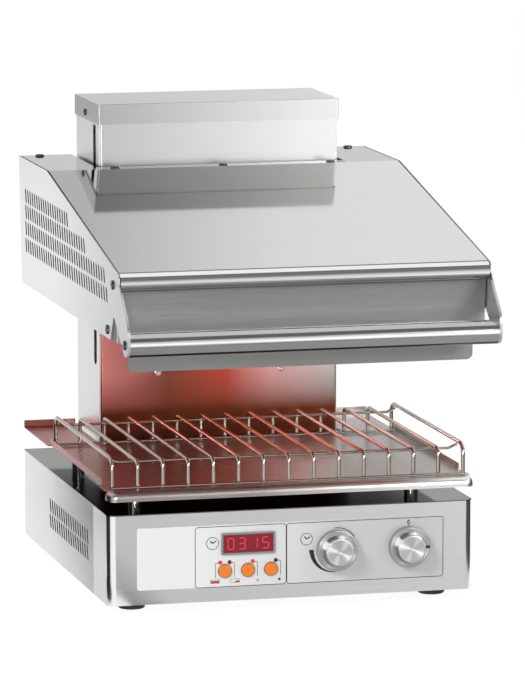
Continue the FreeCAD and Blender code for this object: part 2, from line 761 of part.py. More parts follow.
def make_grid():
    step = 2 * grid_half_width / (GRID_BARS - 1)
    level = GRID_TOP - GRID_WIRE
    bars = []
    for index in range(GRID_BARS):
        x = -grid_half_width + step * index
        if index in [0, GRID_BARS - 1]:
            bars.append(bar(x, level + GRID_OUTER_RISE, GRID_OUTER_BEND))
        else:
            bars.append(bar(x, level, GRID_BEND))
    offset = GRID_WIRE + GRID_CROSS - WELD_DEPTH
    end = grid_half_width + GRID_CROSS
    low = TRAY_TOP + GRID_LOW_RISE
    high = level - offset
    for y, z in [(GRID_FRONT - offset, low), (GRID_BACK - offset, low)]:
        bars.append(rod(GRID_CROSS, Vector(-end, y, z), Vector(end, y, z)))
    for y in [GRID_FRONT + 23, GRID_BACK - 22]:
        inner = grid_half_width - 12
        bars.append(rod(GRID_CROSS, Vector(-inner, y, high), Vector(inner, y, high)))
        rise = Vector(grid_half_width - 1, y, high + GRID_OUTER_RISE)
        tip = rod(GRID_CROSS, Vector(inner, y, high), rise)
        ball = Part.makeSphere(GRID_CROSS, Vector(inner, y, high))
        bars += [tip, ball, mirrored(tip), mirrored(ball)]
    return joined(bars)


# Column
def make_column_shell():
    x = COLUMN_HALF_WIDTH
    start = COLUMN_FRONT + COLUMN_SEAM
    path = [(x, start), (x, COLUMN_BACK), (-x, COLUMN_BACK), (-x, start)]
    shell = folded(path, COLUMN_SHEET, 2.5, "xy", BASE_HEIGHT, COLUMN_TOP)
    radius = SLOT_WIDTH / 2
    for side in [-1, 1]:
        x0 = side * x - 4
        cut = box(x0, x0 + 8, SLOT_FRONT, SLOT_FRONT + SLOT_WIDTH, SLOT_BOTTOM + radius, SLOT_TOP)
        end = Part.makeCylinder(radius, 8, Vector(x0, rod_y, SLOT_BOTTOM + radius), Vector(1, 0, 0))
        shell = shell.cut([cut, end])
        seat = Vector(x0, CAP_SCREW_Y, CAP_SCREW_Z)
        shell = bored(shell, COLUMN_SCREW_RADIUS + SCREW_FIT, seat, Vector(1, 0, 0), 8)
    return shell


def make_column_front():
    x = COLUMN_HALF_WIDTH - COLUMN_SHEET
    flange = SLOT_FRONT - 2
    path = [(-x, flange), (-x, COLUMN_FRONT), (x, COLUMN_FRONT), (x, flange)]
    front = folded(path, COLUMN_SHEET, 1.2, "xy", BASE_HEIGHT, COLUMN_TOP)
    for side in [-1, 1]:
        seat = Vector(side * front_screw_x, COLUMN_FRONT - 1, FRONT_SCREW_Z)
        front = bored(front, COLUMN_SCREW_RADIUS + SCREW_FIT, seat, Vector(0, 1, 0), 4)
    return front


def make_cap():
    x = COLUMN_HALF_WIDTH + CAP_GAP + CAP_SHEET
    front = COLUMN_FRONT - CAP_GAP - CAP_SHEET
    back = COLUMN_BACK + CAP_GAP + CAP_SHEET
    top = COLUMN_TOP + CAP_SHEET
    low = top - CAP_SKIRT
    outer = rounded_box(-x, x, front, back, low, top, 2.0)
    rim = [edge for edge in outer.Edges if edge.BoundBox.ZMin > top - 0.01]
    outer = outer.makeFillet(0.8, rim)
    s = CAP_SHEET
    inner = rounded_box(-x + s, x - s, front + s, back - s, low - 1, COLUMN_TOP, 0.8)
    cap = outer.cut(inner)
    seat = Vector(-x - 5, CAP_SCREW_Y, CAP_SCREW_Z)
    return bored(cap, COLUMN_SCREW_RADIUS + SCREW_FIT, seat, Vector(1, 0, 0), 2 * x + 10)


def make_column_screws():
    screws = []
    length = COLUMN_SCREW_LENGTH
    cap_x = COLUMN_HALF_WIDTH + CAP_GAP + CAP_SHEET
    for side in [-1, 1]:
        seat = Vector(side * front_screw_x, COLUMN_FRONT, FRONT_SCREW_Z)
        screws.append(screw(COLUMN_SCREW_HEAD, 2.0, COLUMN_SCREW_RADIUS, length, seat, Vector(0, 1, 0)))
        seat = Vector(side * cap_x, CAP_SCREW_Y, CAP_SCREW_Z)
        screws.append(screw(COLUMN_SCREW_HEAD, 2.0, COLUMN_SCREW_RADIUS, length, seat, Vector(-side, 0, 0)))
    return Part.makeCompound(screws)


def make_stop_bar():
    y0 = COLUMN_FRONT + COLUMN_SHEET
    x = front_screw_x + 14
    top = SLOT_BOTTOM + 1
    bar_body = box(-x, x, y0, y0 + 9, top - STOP_HEIGHT, top)
    for side in [-1, 1]:
        seat = Vector(side * front_screw_x, y0 - 1, FRONT_SCREW_Z)
        bar_body = bored(bar_body, COLUMN_SCREW_RADIUS + SCREW_FIT, seat, Vector(0, 1, 0), 11)
    return bar_body


def inside_column(z0, z1):
    x = COLUMN_HALF_WIDTH - COLUMN_SHEET
    y0 = COLUMN_FRONT + COLUMN_SHEET
    y1 = COLUMN_BACK - COLUMN_SHEET
    plate = rounded_box(-x, x, y0, y1, z0, z1, 2.5)
    lip = COLUMN_SHEET + 1.5
    strip = box(x - lip, x + 1, y0 - 1, SLOT_FRONT, z0 - 1, z1 + 1)
    return plate.cut([strip, mirrored(strip)])


def make_foot_plate():
    return inside_column(BASE_HEIGHT, BASE_HEIGHT + FOOT_PLATE)


def make_top_plate():
    plate = inside_column(TOP_PLATE_Z, TOP_PLATE_Z + FOOT_PLATE)
    for side in [-1, 1]:
        seat = Vector(side * rod_x, rod_y, TOP_PLATE_Z - 1)
        plate = bored(plate, ROD_RADIUS + SHAFT_CLEARANCE, seat, Vector(0, 0, 1), FOOT_PLATE + 2)
    return plate


# Lift
def make_guide_rods():
    start = Vector(rod_x, rod_y, foot_top)
    end = Vector(rod_x, rod_y, TOP_PLATE_Z + FOOT_PLATE + 4)
    return both_sides(rod(ROD_RADIUS, start, end))


def make_bushes():
    bushes = []
    length = 25.0
    for z in [CARRIAGE_BOTTOM, carriage_top - length]:
        for side in [-1, 1]:
            at = Vector(side * rod_x, rod_y, z)
            ring = Part.makeCylinder(ROD_RADIUS + BUSH_WALL, length, at)
            seat = at - Vector(0, 0, 1)
            bushes.append(bored(ring, ROD_RADIUS + BUSH_CLEARANCE, seat, Vector(0, 0, 1), length + 2))
    return Part.makeCompound(bushes)


def make_carriage():
    """Cross plate with two bush housings, arms through the slots and plates at their ends."""
    plate_back = rod_y - housing_radius + 1.5
    half = rod_x + 40
    parts = [box(-half, half, plate_back - 4, plate_back, CARRIAGE_BOTTOM, carriage_top)]
    lug_half = gas_x + 15
    parts.append(box(-lug_half, lug_half, plate_back, GAS_Y + 12, LUG_Z, LUG_Z + 6))
    arm_low = CARRIAGE_BOTTOM + 8
    arm_high = carriage_top - 8
    end_x = passage_half_width - 4
    for side in [-1, 1]:
        at = Vector(side * rod_x, rod_y, CARRIAGE_BOTTOM)
        parts.append(Part.makeCylinder(housing_radius, CARRIAGE_HEIGHT, at))
        near = side * (rod_x + housing_radius - 3)
        far = side * end_x
        y0 = rod_y - ARM_THICKNESS / 2
        parts.append(box(min(near, far), max(near, far), y0, y0 + ARM_THICKNESS, arm_low, arm_high))
        outer = side * passage_half_width
        parts.append(box(min(far, outer), max(far, outer), rod_y - 15, rod_y + 15, arm_low, arm_high))
    body = joined(parts)
    up = Vector(0, 0, 1)
    for side in [-1, 1]:
        seat = Vector(side * rod_x, rod_y, CARRIAGE_BOTTOM - 1)
        body = bored(body, ROD_RADIUS + BUSH_WALL, seat, up, CARRIAGE_HEIGHT + 2)
        for y, z in bolt_places():
            seat = Vector(side * (passage_half_width - 5), y, z)
            body = bored(body, BOLT_RADIUS + SCREW_FIT, seat, Vector(side, 0, 0), 6)
    return body


def bolt_places():
    return [(rod_y - 10, CARRIAGE_BOTTOM + 18), (rod_y + 10, carriage_top - 18)]


def make_carriage_bolts():
    bolts = []
    seat_x = passage_half_width + HOOD_SHEET
    for side in [-1, 1]:
        for y, z in bolt_places():
            seat = Vector(side * seat_x, y, z)
            bolts.append(screw(5.0, 4.0, BOLT_RADIUS, HOOD_SHEET + 3.5, seat, Vector(-side, 0, 0)))
    return Part.makeCompound(bolts)


def make_gas_tubes():
    low = Vector(gas_x, GAS_Y, foot_top)
    top = Vector(gas_x, GAS_Y, tube_inner_top + GAS_END)
    tube = rod(GAS_TUBE, low, top)
    inside = rod(GAS_BORE, low + Vector(0, 0, GAS_END), Vector(gas_x, GAS_Y, tube_inner_top))
    neck = rod(GAS_ROD + SHAFT_CLEARANCE, low + Vector(0, 0, GAS_END), top + Vector(0, 0, 1))
    return both_sides(tube.cut([inside, neck]))


def make_gas_rods():
    low = Vector(gas_x, GAS_Y, piston_low)
    stem = rod(GAS_ROD, low, Vector(gas_x, GAS_Y, LUG_Z))
    piston = rod(GAS_BORE - SHAFT_CLEARANCE, low, low + Vector(0, 0, PISTON_HEIGHT))
    return both_sides(joined([stem, piston]))


# Hood
def make_hood_top():
    """Bent sheet from the back edge over the slope and round the nose."""
    nose_top = HOOD_TOP - NOSE_DROP
    path = [
        (NOSE_FRONT + NOSE_LIP, nose_top - NOSE_HEIGHT + 1.5), (NOSE_FRONT, nose_top - NOSE_HEIGHT),
        (NOSE_FRONT, nose_top), (HOOD_BEND_Y, HOOD_TOP), (HOOD_BACK_TOP, HOOD_TOP),
    ]
    x = hood_inner - HOOD_REVEAL
    outer_radii = [0, NOSE_FOOT_RADIUS, NOSE_RADIUS, HOOD_BEND, 0]
    sheet = HOOD_SHEET
    full = folded_nose(path, outer_radii, sheet, x)
    notch = box(-passage_half_width, passage_half_width, passage_front, HOOD_BACK_TOP + 1, 400, 600)
    top = full.cut(notch)
    for sx, sy in top_screws:
        top = bored(top, DOME_SHANK + SCREW_FIT, Vector(sx, sy, hood_under - 3), Vector(0, 0, 1), 8)
    return top


def folded_nose(path, outer_radii, sheet, x):
    """The hood's bent sheet with its own radius at each bend, the sheet lying inside the path."""
    inner = []
    steps = []
    for index in range(len(path) - 1):
        step = Vector(path[index + 1][0] - path[index][0], path[index + 1][1] - path[index][1], 0)
        step.normalize()
        steps.append(step)
    for index in range(len(path)):
        into = steps[max(index - 1, 0)]
        out = steps[min(index, len(steps) - 1)]
        normal_in = Vector(into.y, -into.x, 0)
        normal_out = Vector(out.y, -out.x, 0)
        shift = (normal_in + normal_out) * (sheet / (1 + normal_in.dot(normal_out)))
        inner.append((path[index][0] + shift.x, path[index][1] + shift.y))
    inner_radii = [max(radius - sheet, 0) for radius in outer_radii]
    return slab(path + inner[::-1], outer_radii + inner_radii[::-1], "yz", -x, x)


def side_outline(x0, x1):
    nose_top = HOOD_TOP - NOSE_DROP
    points = [
        (HOOD_BACK_TOP, HOOD_TOP), (HOOD_BEND_Y, HOOD_TOP), (NOSE_FRONT + 1.5, nose_top + 0.3),
        (NOSE_FRONT + 1.5, nose_top - 12), (HANDLE_Y + 20, HANDLE_Z + 54), (HANDLE_Y - 4, HANDLE_Z + 32),
        (handle_front, HANDLE_Z + 19), (handle_front, HANDLE_Z), (HANDLE_Y, HANDLE_Z - 2),
        (HANDLE_Y + 7, HANDLE_Z - 7), (HANDLE_Y + 29, HANDLE_Z + 2.5),
        (NOTCH_Y, HOOD_BOTTOM + NOTCH_HEIGHT), (NOTCH_Y + 20, HOOD_BOTTOM), (HOOD_BACK_BOTTOM, HOOD_BOTTOM),
    ]
    radii = [2, 8, 8.5, 12, 60, 30, 20, 0, 0, 0, 2, 3, 4, 4]
    arm = Part.makeCylinder(HANDLE_RADIUS, x1 - x0, Vector(x0, HANDLE_Y, HANDLE_Z), Vector(1, 0, 0))
    return slab(points, radii, "yz", x0, x1), arm


def make_hood_side():
    plate, arm = side_outline(hood_inner, HOOD_HALF_WIDTH)
    thick, thick_arm = side_outline(HOOD_HALF_WIDTH - ARM_EDGE, hood_inner)
    keep = box(HOOD_HALF_WIDTH - ARM_EDGE - 1, hood_inner + 1, -200, NOSE_FRONT - 6, 300, 600)
    edge = thick.fuse(thick_arm).common(keep)
    side = joined([plate, arm, edge])
    holes = []
    x0 = hood_inner - 1
    x1 = HOOD_HALF_WIDTH + 1
    for count, z, back in [(19, 473.0, 486.0), (26, 452.0, 485.0), (34, 430.0, 485.0), (35, 407.5, 485.0)]:
        first = back - HOOD_VENT_PITCH * (count - 1)
        holes += slot_row(first, HOOD_VENT_PITCH, count, z, x0, x1)
    side = side.cut(Part.makeCompound(holes))
    for y, z in SIDE_SCREWS + [(HANDLE_Y, HANDLE_Z)]:
        seat = Vector(HOOD_HALF_WIDTH - ARM_EDGE - 1, y, z)
        side = bored(side, DOME_SHANK + SCREW_FIT, seat, Vector(1, 0, 0), ARM_EDGE + 3)
    return side


def back_line(z):
    """Y of the hood's leaning back at a height."""
    share = (z - HOOD_BOTTOM) / (HOOD_TOP - HOOD_BOTTOM)
    return HOOD_BACK_BOTTOM + (HOOD_BACK_TOP - HOOD_BACK_BOTTOM) * share


def make_hood_back():
    low = frame_top
    high = hood_under
    points = [
        (back_line(low), low), (back_line(high), high),
        (back_line(high) - HOOD_SHEET, high), (back_line(low) - HOOD_SHEET, low),
    ]
    sheet = slab(points, [0] * 4, "yz", passage_half_width, hood_inner)
    x, y = top_screws[-1]
    tab = box(x - 12, x + 12, y - 10, back_line(high) - HOOD_SHEET, high - HOOD_SHEET, high)
    back = joined([sheet, tab])
    return bored(back, DOME_SHANK + SCREW_FIT, Vector(x, y, high - 3), Vector(0, 0, 1), 6)


def make_liner():
    """Sheet round the passage that the column stands in."""
    x = passage_half_width
    reach = HOOD_BACK_TOP + 5
    path = [(x, reach), (x, passage_front), (-x, passage_front), (-x, reach)]
    liner = folded(path, HOOD_SHEET, 0.8, "xy", frame_top, hood_under)
    low = frame_top - 1
    high = hood_under + 1
    points = [
        (back_line(low) - HOOD_SHEET, low), (back_line(high) - HOOD_SHEET, high),
        (reach + 5, high), (reach + 5, low),
    ]
    behind = slab(points, [0] * 4, "yz", -x - 5, x + 5)
    liner = liner.cut(behind)
    tabs = [liner]
    for tx, ty in top_screws[:3]:
        wall = passage_front - HOOD_SHEET
        low_y = ty - TAB_REACH
        tabs.append(box(tx - TAB_HALF, tx + TAB_HALF, low_y, wall, hood_under - HOOD_SHEET, hood_under))
    liner = joined(tabs)
    for tx, ty in top_screws[:3]:
        liner = bored(liner, DOME_SHANK + SCREW_FIT, Vector(tx, ty, hood_under - 3), Vector(0, 0, 1), 6)
    for side in [-1, 1]:
        for y, z in bolt_places():
            seat = Vector(side * (x - 1), y, z)
            liner = bored(liner, BOLT_RADIUS + SCREW_FIT, seat, Vector(side, 0, 0), 5)
    return liner


def make_hood_front():
    """Recessed panel under the nose, with side flanges folded back, leaning forward at the top."""
    x = hood_inner
    path = [(-x, 24), (-x, 0), (x, 0), (x, 24)]
    panel = folded(path, HOOD_SHEET, 1.2, "xy", 0, FRONT_PANEL_HEIGHT)
    panel.rotate(Vector(0, 0, 0), Vector(1, 0, 0), FRONT_PANEL_LEAN)
    panel.translate(Vector(0, FRONT_PANEL_Y, FRONT_PANEL_Z))
    y, z = SIDE_SCREWS[0]
    return bored(panel, DOME_SHANK + SCREW_FIT, Vector(-x - 5, y, z), Vector(1, 0, 0), 2 * x + 10)


def make_heater_frame():
    """Underside of the hood with the opening for the glass and a tongue bent down in front."""
    low = frame_top - HOOD_SHEET
    back = back_line(low) - HOOD_SHEET
    path = [(FRAME_FRONT, TONGUE_BOTTOM), (FRAME_FRONT, frame_top), (back, frame_top)]
    sheet = folded(path[::-1], HOOD_SHEET, 1.2, "yz", -hood_inner, hood_inner)
    trims = []
    lap = GLASS_LAP
    glass_x = glass_half_width - lap
    trims.append(box(-glass_x, glass_x, GLASS_FRONT + lap, glass_back - lap, low - 1, frame_top + 1))
    wall = passage_half_width
    trims.append(box(-wall, wall, passage_front, back + 1, low - 1, frame_top + 1))
    inner = hood_inner - HOOD_SHEET - 0.3
    corner = box(inner, hood_inner + 1, FRAME_FRONT - 1, -22, low - 1, frame_top + 1)
    side = box(tongue_half_width, hood_inner + 1, FRAME_FRONT - 1, FRAME_FRONT + 5, TONGUE_BOTTOM - 1, low)
    trims += [corner, mirrored(corner), side, mirrored(side)]
    sheet = sheet.cut(trims)
    corners = []
    for edge in sheet.Edges:
        limits = edge.BoundBox
        if limits.ZMax < TONGUE_BOTTOM + 0.1 and limits.XLength < 0.1 and limits.YLength > 0.5:
            corners.append(edge)
    sheet = sheet.makeFillet(8.0, corners)
    y, z = SIDE_SCREWS[1]
    flange = box(hood_inner - HOOD_SHEET, hood_inner, -22, back, low, z + 8)
    frame = joined([sheet, flange, mirrored(flange)])
    seat = Vector(-hood_inner - 5, y, z)
    return bored(frame, DOME_SHANK + SCREW_FIT, seat, Vector(1, 0, 0), 2 * hood_inner + 10)


def make_glass():
    x = glass_half_width
    return rounded_box(-x, x, GLASS_FRONT, glass_back, frame_top, frame_top + GLASS_SHEET, 4.0)


def make_dishes():
    x0 = 3.0
    x1 = glass_half_width - 5
    y0 = GLASS_FRONT + 5
    y1 = glass_back - 5
    dish = rounded_box(x0, x1, y0, y1, dish_low, dish_top, 12)
    w = DISH_WALL
    inside = rounded_box(x0 + w, x1 - w, y0 + w, y1 - w, dish_low - 1, dish_top - w, 9)
    return both_sides(dish.cut(inside))


def make_ribbons():
    """A thin strip on edge that runs to and fro below the dish's roof."""
    rows = 10
    x0 = 24.0
    x1 = glass_half_width - 26
    y0 = GLASS_FRONT + 24
    pitch = (glass_back - GLASS_FRONT - 48) / (rows - 1)
    path = []
    for index in range(rows):
        y = y0 + pitch * index
        ends = [x0, x1] if index % 2 == 0 else [x1, x0]
        path += [(ends[0], y), (ends[1], y)]
    top = dish_top - DISH_WALL
    strip = folded(path, 0.8, pitch / 2 - 1.5, "xy", top - RIBBON_HEIGHT, top)
    return both_sides(strip)


def make_clamps():
    """Bridges that hold the dishes down on the glass."""
    top = dish_top + HOOD_SHEET
    foot = frame_top + HOOD_SHEET
    front = GLASS_FRONT - 7
    back = glass_back + 7
    path = [
        (back + 11, foot), (back, foot), (back, top), (front, top), (front, foot), (front - 16, foot),
    ]
    middle = (glass_half_width - 2) / 2
    strip = folded(path, HOOD_SHEET, 1.0, "yz", middle - 10, middle + 10)
    return both_sides(strip)


def make_handle():
    x = HOOD_HALF_WIDTH - ARM_EDGE
    axis = Vector(0, HANDLE_Y, HANDLE_Z)
    tube = rod(HANDLE_RADIUS, axis - Vector(x, 0, 0), axis + Vector(x, 0, 0))
    inside = x - 6
    hollow = rod(HANDLE_RADIUS - HANDLE_WALL, axis - Vector(inside, 0, 0), axis + Vector(inside, 0, 0))
    screw_hole = rod(DOME_SHANK + SCREW_FIT, axis - Vector(x + 1, 0, 0), axis + Vector(x + 1, 0, 0))
    return tube.cut([hollow, screw_hole])


def make_hood_screws():
    screws = []
    length = DOME_LENGTH
    for side in [-1, 1]:
        for y, z in SIDE_SCREWS + [(HANDLE_Y, HANDLE_Z)]:
            seat = Vector(side * HOOD_HALF_WIDTH, y, z)
            screws.append(screw(DOME_RADIUS, DOME_HEIGHT, DOME_SHANK, length, seat, Vector(-side, 0, 0)))
    for x, y in top_screws:
        seat = Vector(x, y, HOOD_TOP)
        screws.append(screw(DOME_RADIUS, DOME_HEIGHT, DOME_SHANK, length, seat, Vector(0, 0, -1)))
    return Part.makeCompound(screws)


def save(name, shape):
    moved = shape.copy()
    moved.translate(Vector(0, -mid_y, 0))
    moved.exportStep("parts/" + name + ".step")


def main():
    os.makedirs("parts", exist_ok=True)
    side = make_side()
    hood_side = make_hood_side()
    hood_back = make_hood_back()
    save("front_panel", make_front_panel())
    save("side_right", side)
    save("side_left", mirrored(side))
    save("back_panel", make_back_panel())
    save("bottom_plate", make_bottom_plate())
    save("base_top", make_base_top())
    save("rubber_feet", make_feet())
    save("base_screws", make_base_screws())
    save("control_foil", make_foil())
    save("display_bezel", make_bezel())
    save("display_window", make_window())
    save("display_module", make_module())
    save("control_board", make_board())
    save("board_spacers", make_spacers())
    save("key_switches", make_key_switches())
    save("select_button", make_button(BUTTON_X[0]))
    save("start_button", make_button(BUTTON_X[1]))
    save("stop_button", make_button(BUTTON_X[2]))
    save("indicator_lamps", make_lamps())
    save("timer_knob", make_knob(TIMER_X))
    save("timer_shaft", make_shaft(TIMER_X))
    save("timer_switch", make_rotary(TIMER_X, SWITCH_DEPTH + 8))
    save("power_knob", make_knob(POWER_X))
    save("power_shaft", make_shaft(POWER_X))
    save("power_regulator", make_rotary(POWER_X, SWITCH_DEPTH))
    save("cable_gland", make_gland())
    save("terminal_block", make_terminal_block())
    save("power_relay", make_relay())
    save("transformer", make_transformer())
    save("tray_posts", make_posts())
    save("tray", make_tray())
    save("grid", make_grid())
    save("column_shell", make_column_shell())
    save("column_front", make_column_front())
    save("column_cap", make_cap())
    save("column_screws", make_column_screws())
    save("column_foot", make_foot_plate())
    save("top_plate", make_top_plate())
    save("stop_bar", make_stop_bar())
    save("guide_rods", make_guide_rods())
    save("guide_bushes", make_bushes())
    save("carriage", make_carriage())
    save("carriage_bolts", make_carriage_bolts())
    save("gas_tubes", make_gas_tubes())
    save("gas_rods", make_gas_rods())
    save("hood_top", make_hood_top())
    save("hood_side_right", hood_side)
    save("hood_side_left", mirrored(hood_side))
    save("hood_back_right", hood_back)
    save("hood_back_left", mirrored(hood_back))
    save("hood_liner", make_liner())
    save("hood_front", make_hood_front())
    save("heater_frame", make_heater_frame())
    save("glass_panel", make_glass())
    save("heater_dishes", make_dishes())
    save("heater_ribbons", make_ribbons())
    save("heater_clamps", make_clamps())
    save("handle_bar", make_handle())
    save("hood_screws", make_hood_screws())


main()
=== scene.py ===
import math
import bpy
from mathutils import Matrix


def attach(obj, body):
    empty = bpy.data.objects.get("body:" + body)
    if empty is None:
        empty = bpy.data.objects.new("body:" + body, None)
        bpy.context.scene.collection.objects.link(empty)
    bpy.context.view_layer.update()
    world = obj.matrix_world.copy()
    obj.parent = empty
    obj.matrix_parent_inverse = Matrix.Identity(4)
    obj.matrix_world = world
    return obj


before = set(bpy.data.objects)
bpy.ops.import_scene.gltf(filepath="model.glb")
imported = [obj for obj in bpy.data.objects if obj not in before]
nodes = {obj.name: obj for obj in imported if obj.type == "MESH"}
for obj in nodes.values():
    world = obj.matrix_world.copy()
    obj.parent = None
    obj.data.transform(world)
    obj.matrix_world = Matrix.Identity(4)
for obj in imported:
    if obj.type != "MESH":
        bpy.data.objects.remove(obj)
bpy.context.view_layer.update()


# Sheet steel shell of the base: a front panel folded round both corners, two
# vented sides and a back, all of stainless steel brushed with an abrasive belt
# and screwed together. Each CAD sheet gets the steel whose grain runs along it.
def linear(hex_colour):
    """The linear colour of an sRGB hex value."""
    channels = [int(hex_colour[i:i + 2], 16) / 255 for i in (1, 3, 5)]
    return tuple(c / 12.92 if c <= 0.04045 else ((c + 0.055) / 1.055) ** 2.4
                 for c in channels) + (1.0,)


def add(finish, kind, settings, links):
    """Adds a node to a finish: settings are its own values, links name what feeds its sockets."""
    node = finish.node_tree.nodes.new(kind)
    for key, value in settings.items():
        if isinstance(key, int) or key[0].isupper():
            node.inputs[key].default_value = value
        else:
            setattr(node, key, value)
    for key, source in links.items():
        finish.node_tree.links.new(source, node.inputs[key])
    return node


def new_finish(name, colour, metallic, roughness):
    """A finish with its colour, metal and roughness on the shader itself."""
    finish = bpy.data.materials.new(name)
    finish.use_nodes = True
    shader = finish.node_tree.nodes["Principled BSDF"]
    shader.inputs["Base Color"].default_value = linear(colour)
    shader.inputs["Metallic"].default_value = metallic
    shader.inputs["Roughness"].default_value = roughness
    return finish, shader


def brushed_steel(name, light, dark, grain, smooth, rough, depth):
    """Metal with tool marks: their streaks shift the tone and the gloss a little, and draw what it
    mirrors out along the grain. The grain counts streaks in a metre along x, y and z."""
    finish, shader = new_finish(name, light, 1.0, smooth)
    place = add(finish, "ShaderNodeTexCoord", {}, {})
    stretch = add(finish, "ShaderNodeMapping", {"Scale": grain},
                  {"Vector": place.outputs["Object"]})
    streaks = add(finish, "ShaderNodeTexNoise", {"Scale": 1.0, "Detail": 3.0},
                  {"Vector": stretch.outputs[0]})
    tone = add(finish, "ShaderNodeMix", {"data_type": "RGBA", 6: linear(dark), 7: linear(light)},
               {0: streaks.outputs["Fac"]})
    gloss = add(finish, "ShaderNodeMapRange",
                {"From Min": 0.3, "From Max": 0.7, "To Min": smooth, "To Max": rough},
                {"Value": streaks.outputs["Fac"]})
    relief = add(finish, "ShaderNodeBump", {"Strength": depth, "Distance": 0.0001},
                 {"Height": streaks.outputs["Fac"]})
    tree = finish.node_tree
    tree.links.new(tone.outputs[2], shader.inputs["Base Color"])
    tree.links.new(gloss.outputs[0], shader.inputs["Roughness"])
    tree.links.new(relief.outputs[0], shader.inputs["Normal"])
    return finish


def coat(finish, *names):
    """Gives CAD nodes their finish."""
    for name in names:
        for place in nodes[name].material_slots:
            place.material = finish


# A belt leaves scratches about 0.2 mm wide. They are drawn 1.4 mm wide and 70
# mm long so that they show. To the eye the sheet is soft and satin across the
# grain, and the front, brushed finest, still mirrors the floor.
along_x = (14.0, 700.0, 700.0)
along_y = (700.0, 14.0, 700.0)
along_z = (700.0, 700.0, 14.0)
front_steel = brushed_steel("steel brushed sideways", "#f0f0ee", "#e4e4e2",
                            along_x, 0.15, 0.21, 0.05)
side_steel = brushed_steel("steel brushed front to back", "#e9e9e7", "#dfdfdd",
                           along_y, 0.30, 0.38, 0.12)
back_steel = brushed_steel("steel brushed across the back", "#cfcfcd", "#c2c2c0",
                           along_x, 0.32, 0.42, 0.2)
coat(front_steel, "front_panel")
coat(back_steel, "back_panel")


def recolour(finish, mask, hex_colour):
    """Mixes a second colour into a finish where the mask is 1."""
    tree = finish.node_tree
    shader = tree.nodes["Principled BSDF"]
    before = shader.inputs["Base Color"].links[0].from_socket
    mixed = add(finish, "ShaderNodeMix", {"data_type": "RGBA", 7: linear(hex_colour)},
                {0: mask, 6: before})
    tree.links.new(mixed.outputs[2], shader.inputs["Base Color"])


def paint_shade_inside(finish, outer_face, front):
    """Paints the inner face of a vented side black, as painted shade, so its slots look black from
    outside. It is all that lies nearer the middle than the outer face, behind a limit in depth."""
    place = add(finish, "ShaderNodeTexCoord", {}, {})
    parts = add(finish, "ShaderNodeSeparateXYZ", {}, {0: place.outputs["Object"]})
    away = add(finish, "ShaderNodeMath", {"operation": "ABSOLUTE"}, {0: parts.outputs[0]})
    within = add(finish, "ShaderNodeMath", {"operation": "LESS_THAN", 1: outer_face},
                 {0: away.outputs[0]})
    behind = add(finish, "ShaderNodeMath", {"operation": "GREATER_THAN", 1: front},
                 {0: parts.outputs[1]})
    both = add(finish, "ShaderNodeMath", {"operation": "MULTIPLY"},
               {0: within.outputs[0], 1: behind.outputs[0]})
    recolour(finish, both.outputs[0], "#0c0c0c")


base_outer_face = 0.2374
no_front_limit = -1.0
# The base's sides get painted shade, black, on their inner faces.
paint_shade_inside(side_steel, base_outer_face, no_front_limit)
coat(side_steel, "side_left", "side_right")


def along(finish, axis, none, full):
    """A mask that grows from 0 to 1 between two places along an axis of the object."""
    place = add(finish, "ShaderNodeTexCoord", {}, {})
    parts = add(finish, "ShaderNodeSeparateXYZ", {}, {0: place.outputs["Object"]})
    settings = {"From Min": min(none, full), "From Max": max(none, full)}
    settings["To Min"] = 0.0 if none < full else 1.0
    settings["To Max"] = 1.0 if none < full else 0.0
    return add(finish, "ShaderNodeMapRange", settings,
               {"Value": parts.outputs[axis]}).outputs[0]


# Second tones of painted shade, as in the photograph: the sides grow darker to
# the front, and so does the fold of the front panel on its left end.
axis_x, axis_y, axis_z = 0, 1, 2
fold_start = -0.2365
recolour(side_steel, along(side_steel, axis_y, 0.13, -0.15), "#acacaa")
recolour(front_steel, along(front_steel, axis_x, fold_start, -base_outer_face), "#bfbfbd")

# Top sheet of the base and the pan under it, both of stainless steel. The top
# is polished bright, in marks drawn 11 mm wide, and mirrors the tray's
# underside; its steel is also made dark as painted shade under the tray. The pan
# and the transformer's core are as rolled: a dull skin, cloudy in patches of
# 17 mm, and dark with painted shade, as they lie inside.
polish = (30.0, 90.0, 90.0)
mill_skin = (60.0, 60.0, 60.0)
bright_steel = brushed_steel("steel polished bright", "#787876", "#6e6e6c",
                             polish, 0.04, 0.08, 0.03)
inner_steel = brushed_steel("steel as rolled", "#4a4a48", "#3e3e3c",
                            mill_skin, 0.40, 0.55, 0.10)
coat(bright_steel, "base_top")
coat(inner_steel, "bottom_plate", "transformer")


# Feet of black rubber, each moulded in one piece and screwed on from below. Its
# fine matt skin takes the light evenly and shows no reflection.
def moulded(name, colour, roughness, grit, depth):
    """A moulded or printed skin, made a little matt by the grit of its mould. Real grit is about
    0.1 mm. It is counted in cells per metre and drawn 0.7 to 3 mm coarse so that it shows."""
    finish, shader = new_finish(name, colour, 0.0, roughness)
    place = add(finish, "ShaderNodeTexCoord", {}, {})
    cells = add(finish, "ShaderNodeTexNoise", {"Scale": grit, "Detail": 2.0},
                {"Vector": place.outputs["Object"]})
    gloss = add(finish, "ShaderNodeMapRange",
                {"To Min": roughness * 0.85, "To Max": roughness * 1.15},
                {"Value": cells.outputs["Fac"]})
    relief = add(finish, "ShaderNodeBump", {"Strength": depth, "Distance": 0.0001},
                 {"Height": cells.outputs["Fac"]})
    finish.node_tree.links.new(gloss.outputs[0], shader.inputs["Roughness"])
    finish.node_tree.links.new(relief.outputs[0], shader.inputs["Normal"])
    return finish


black_rubber = moulded("rubber moulded black", "#141414", 0.62, 900.0, 0.3)
coat(black_rubber, "rubber_feet")
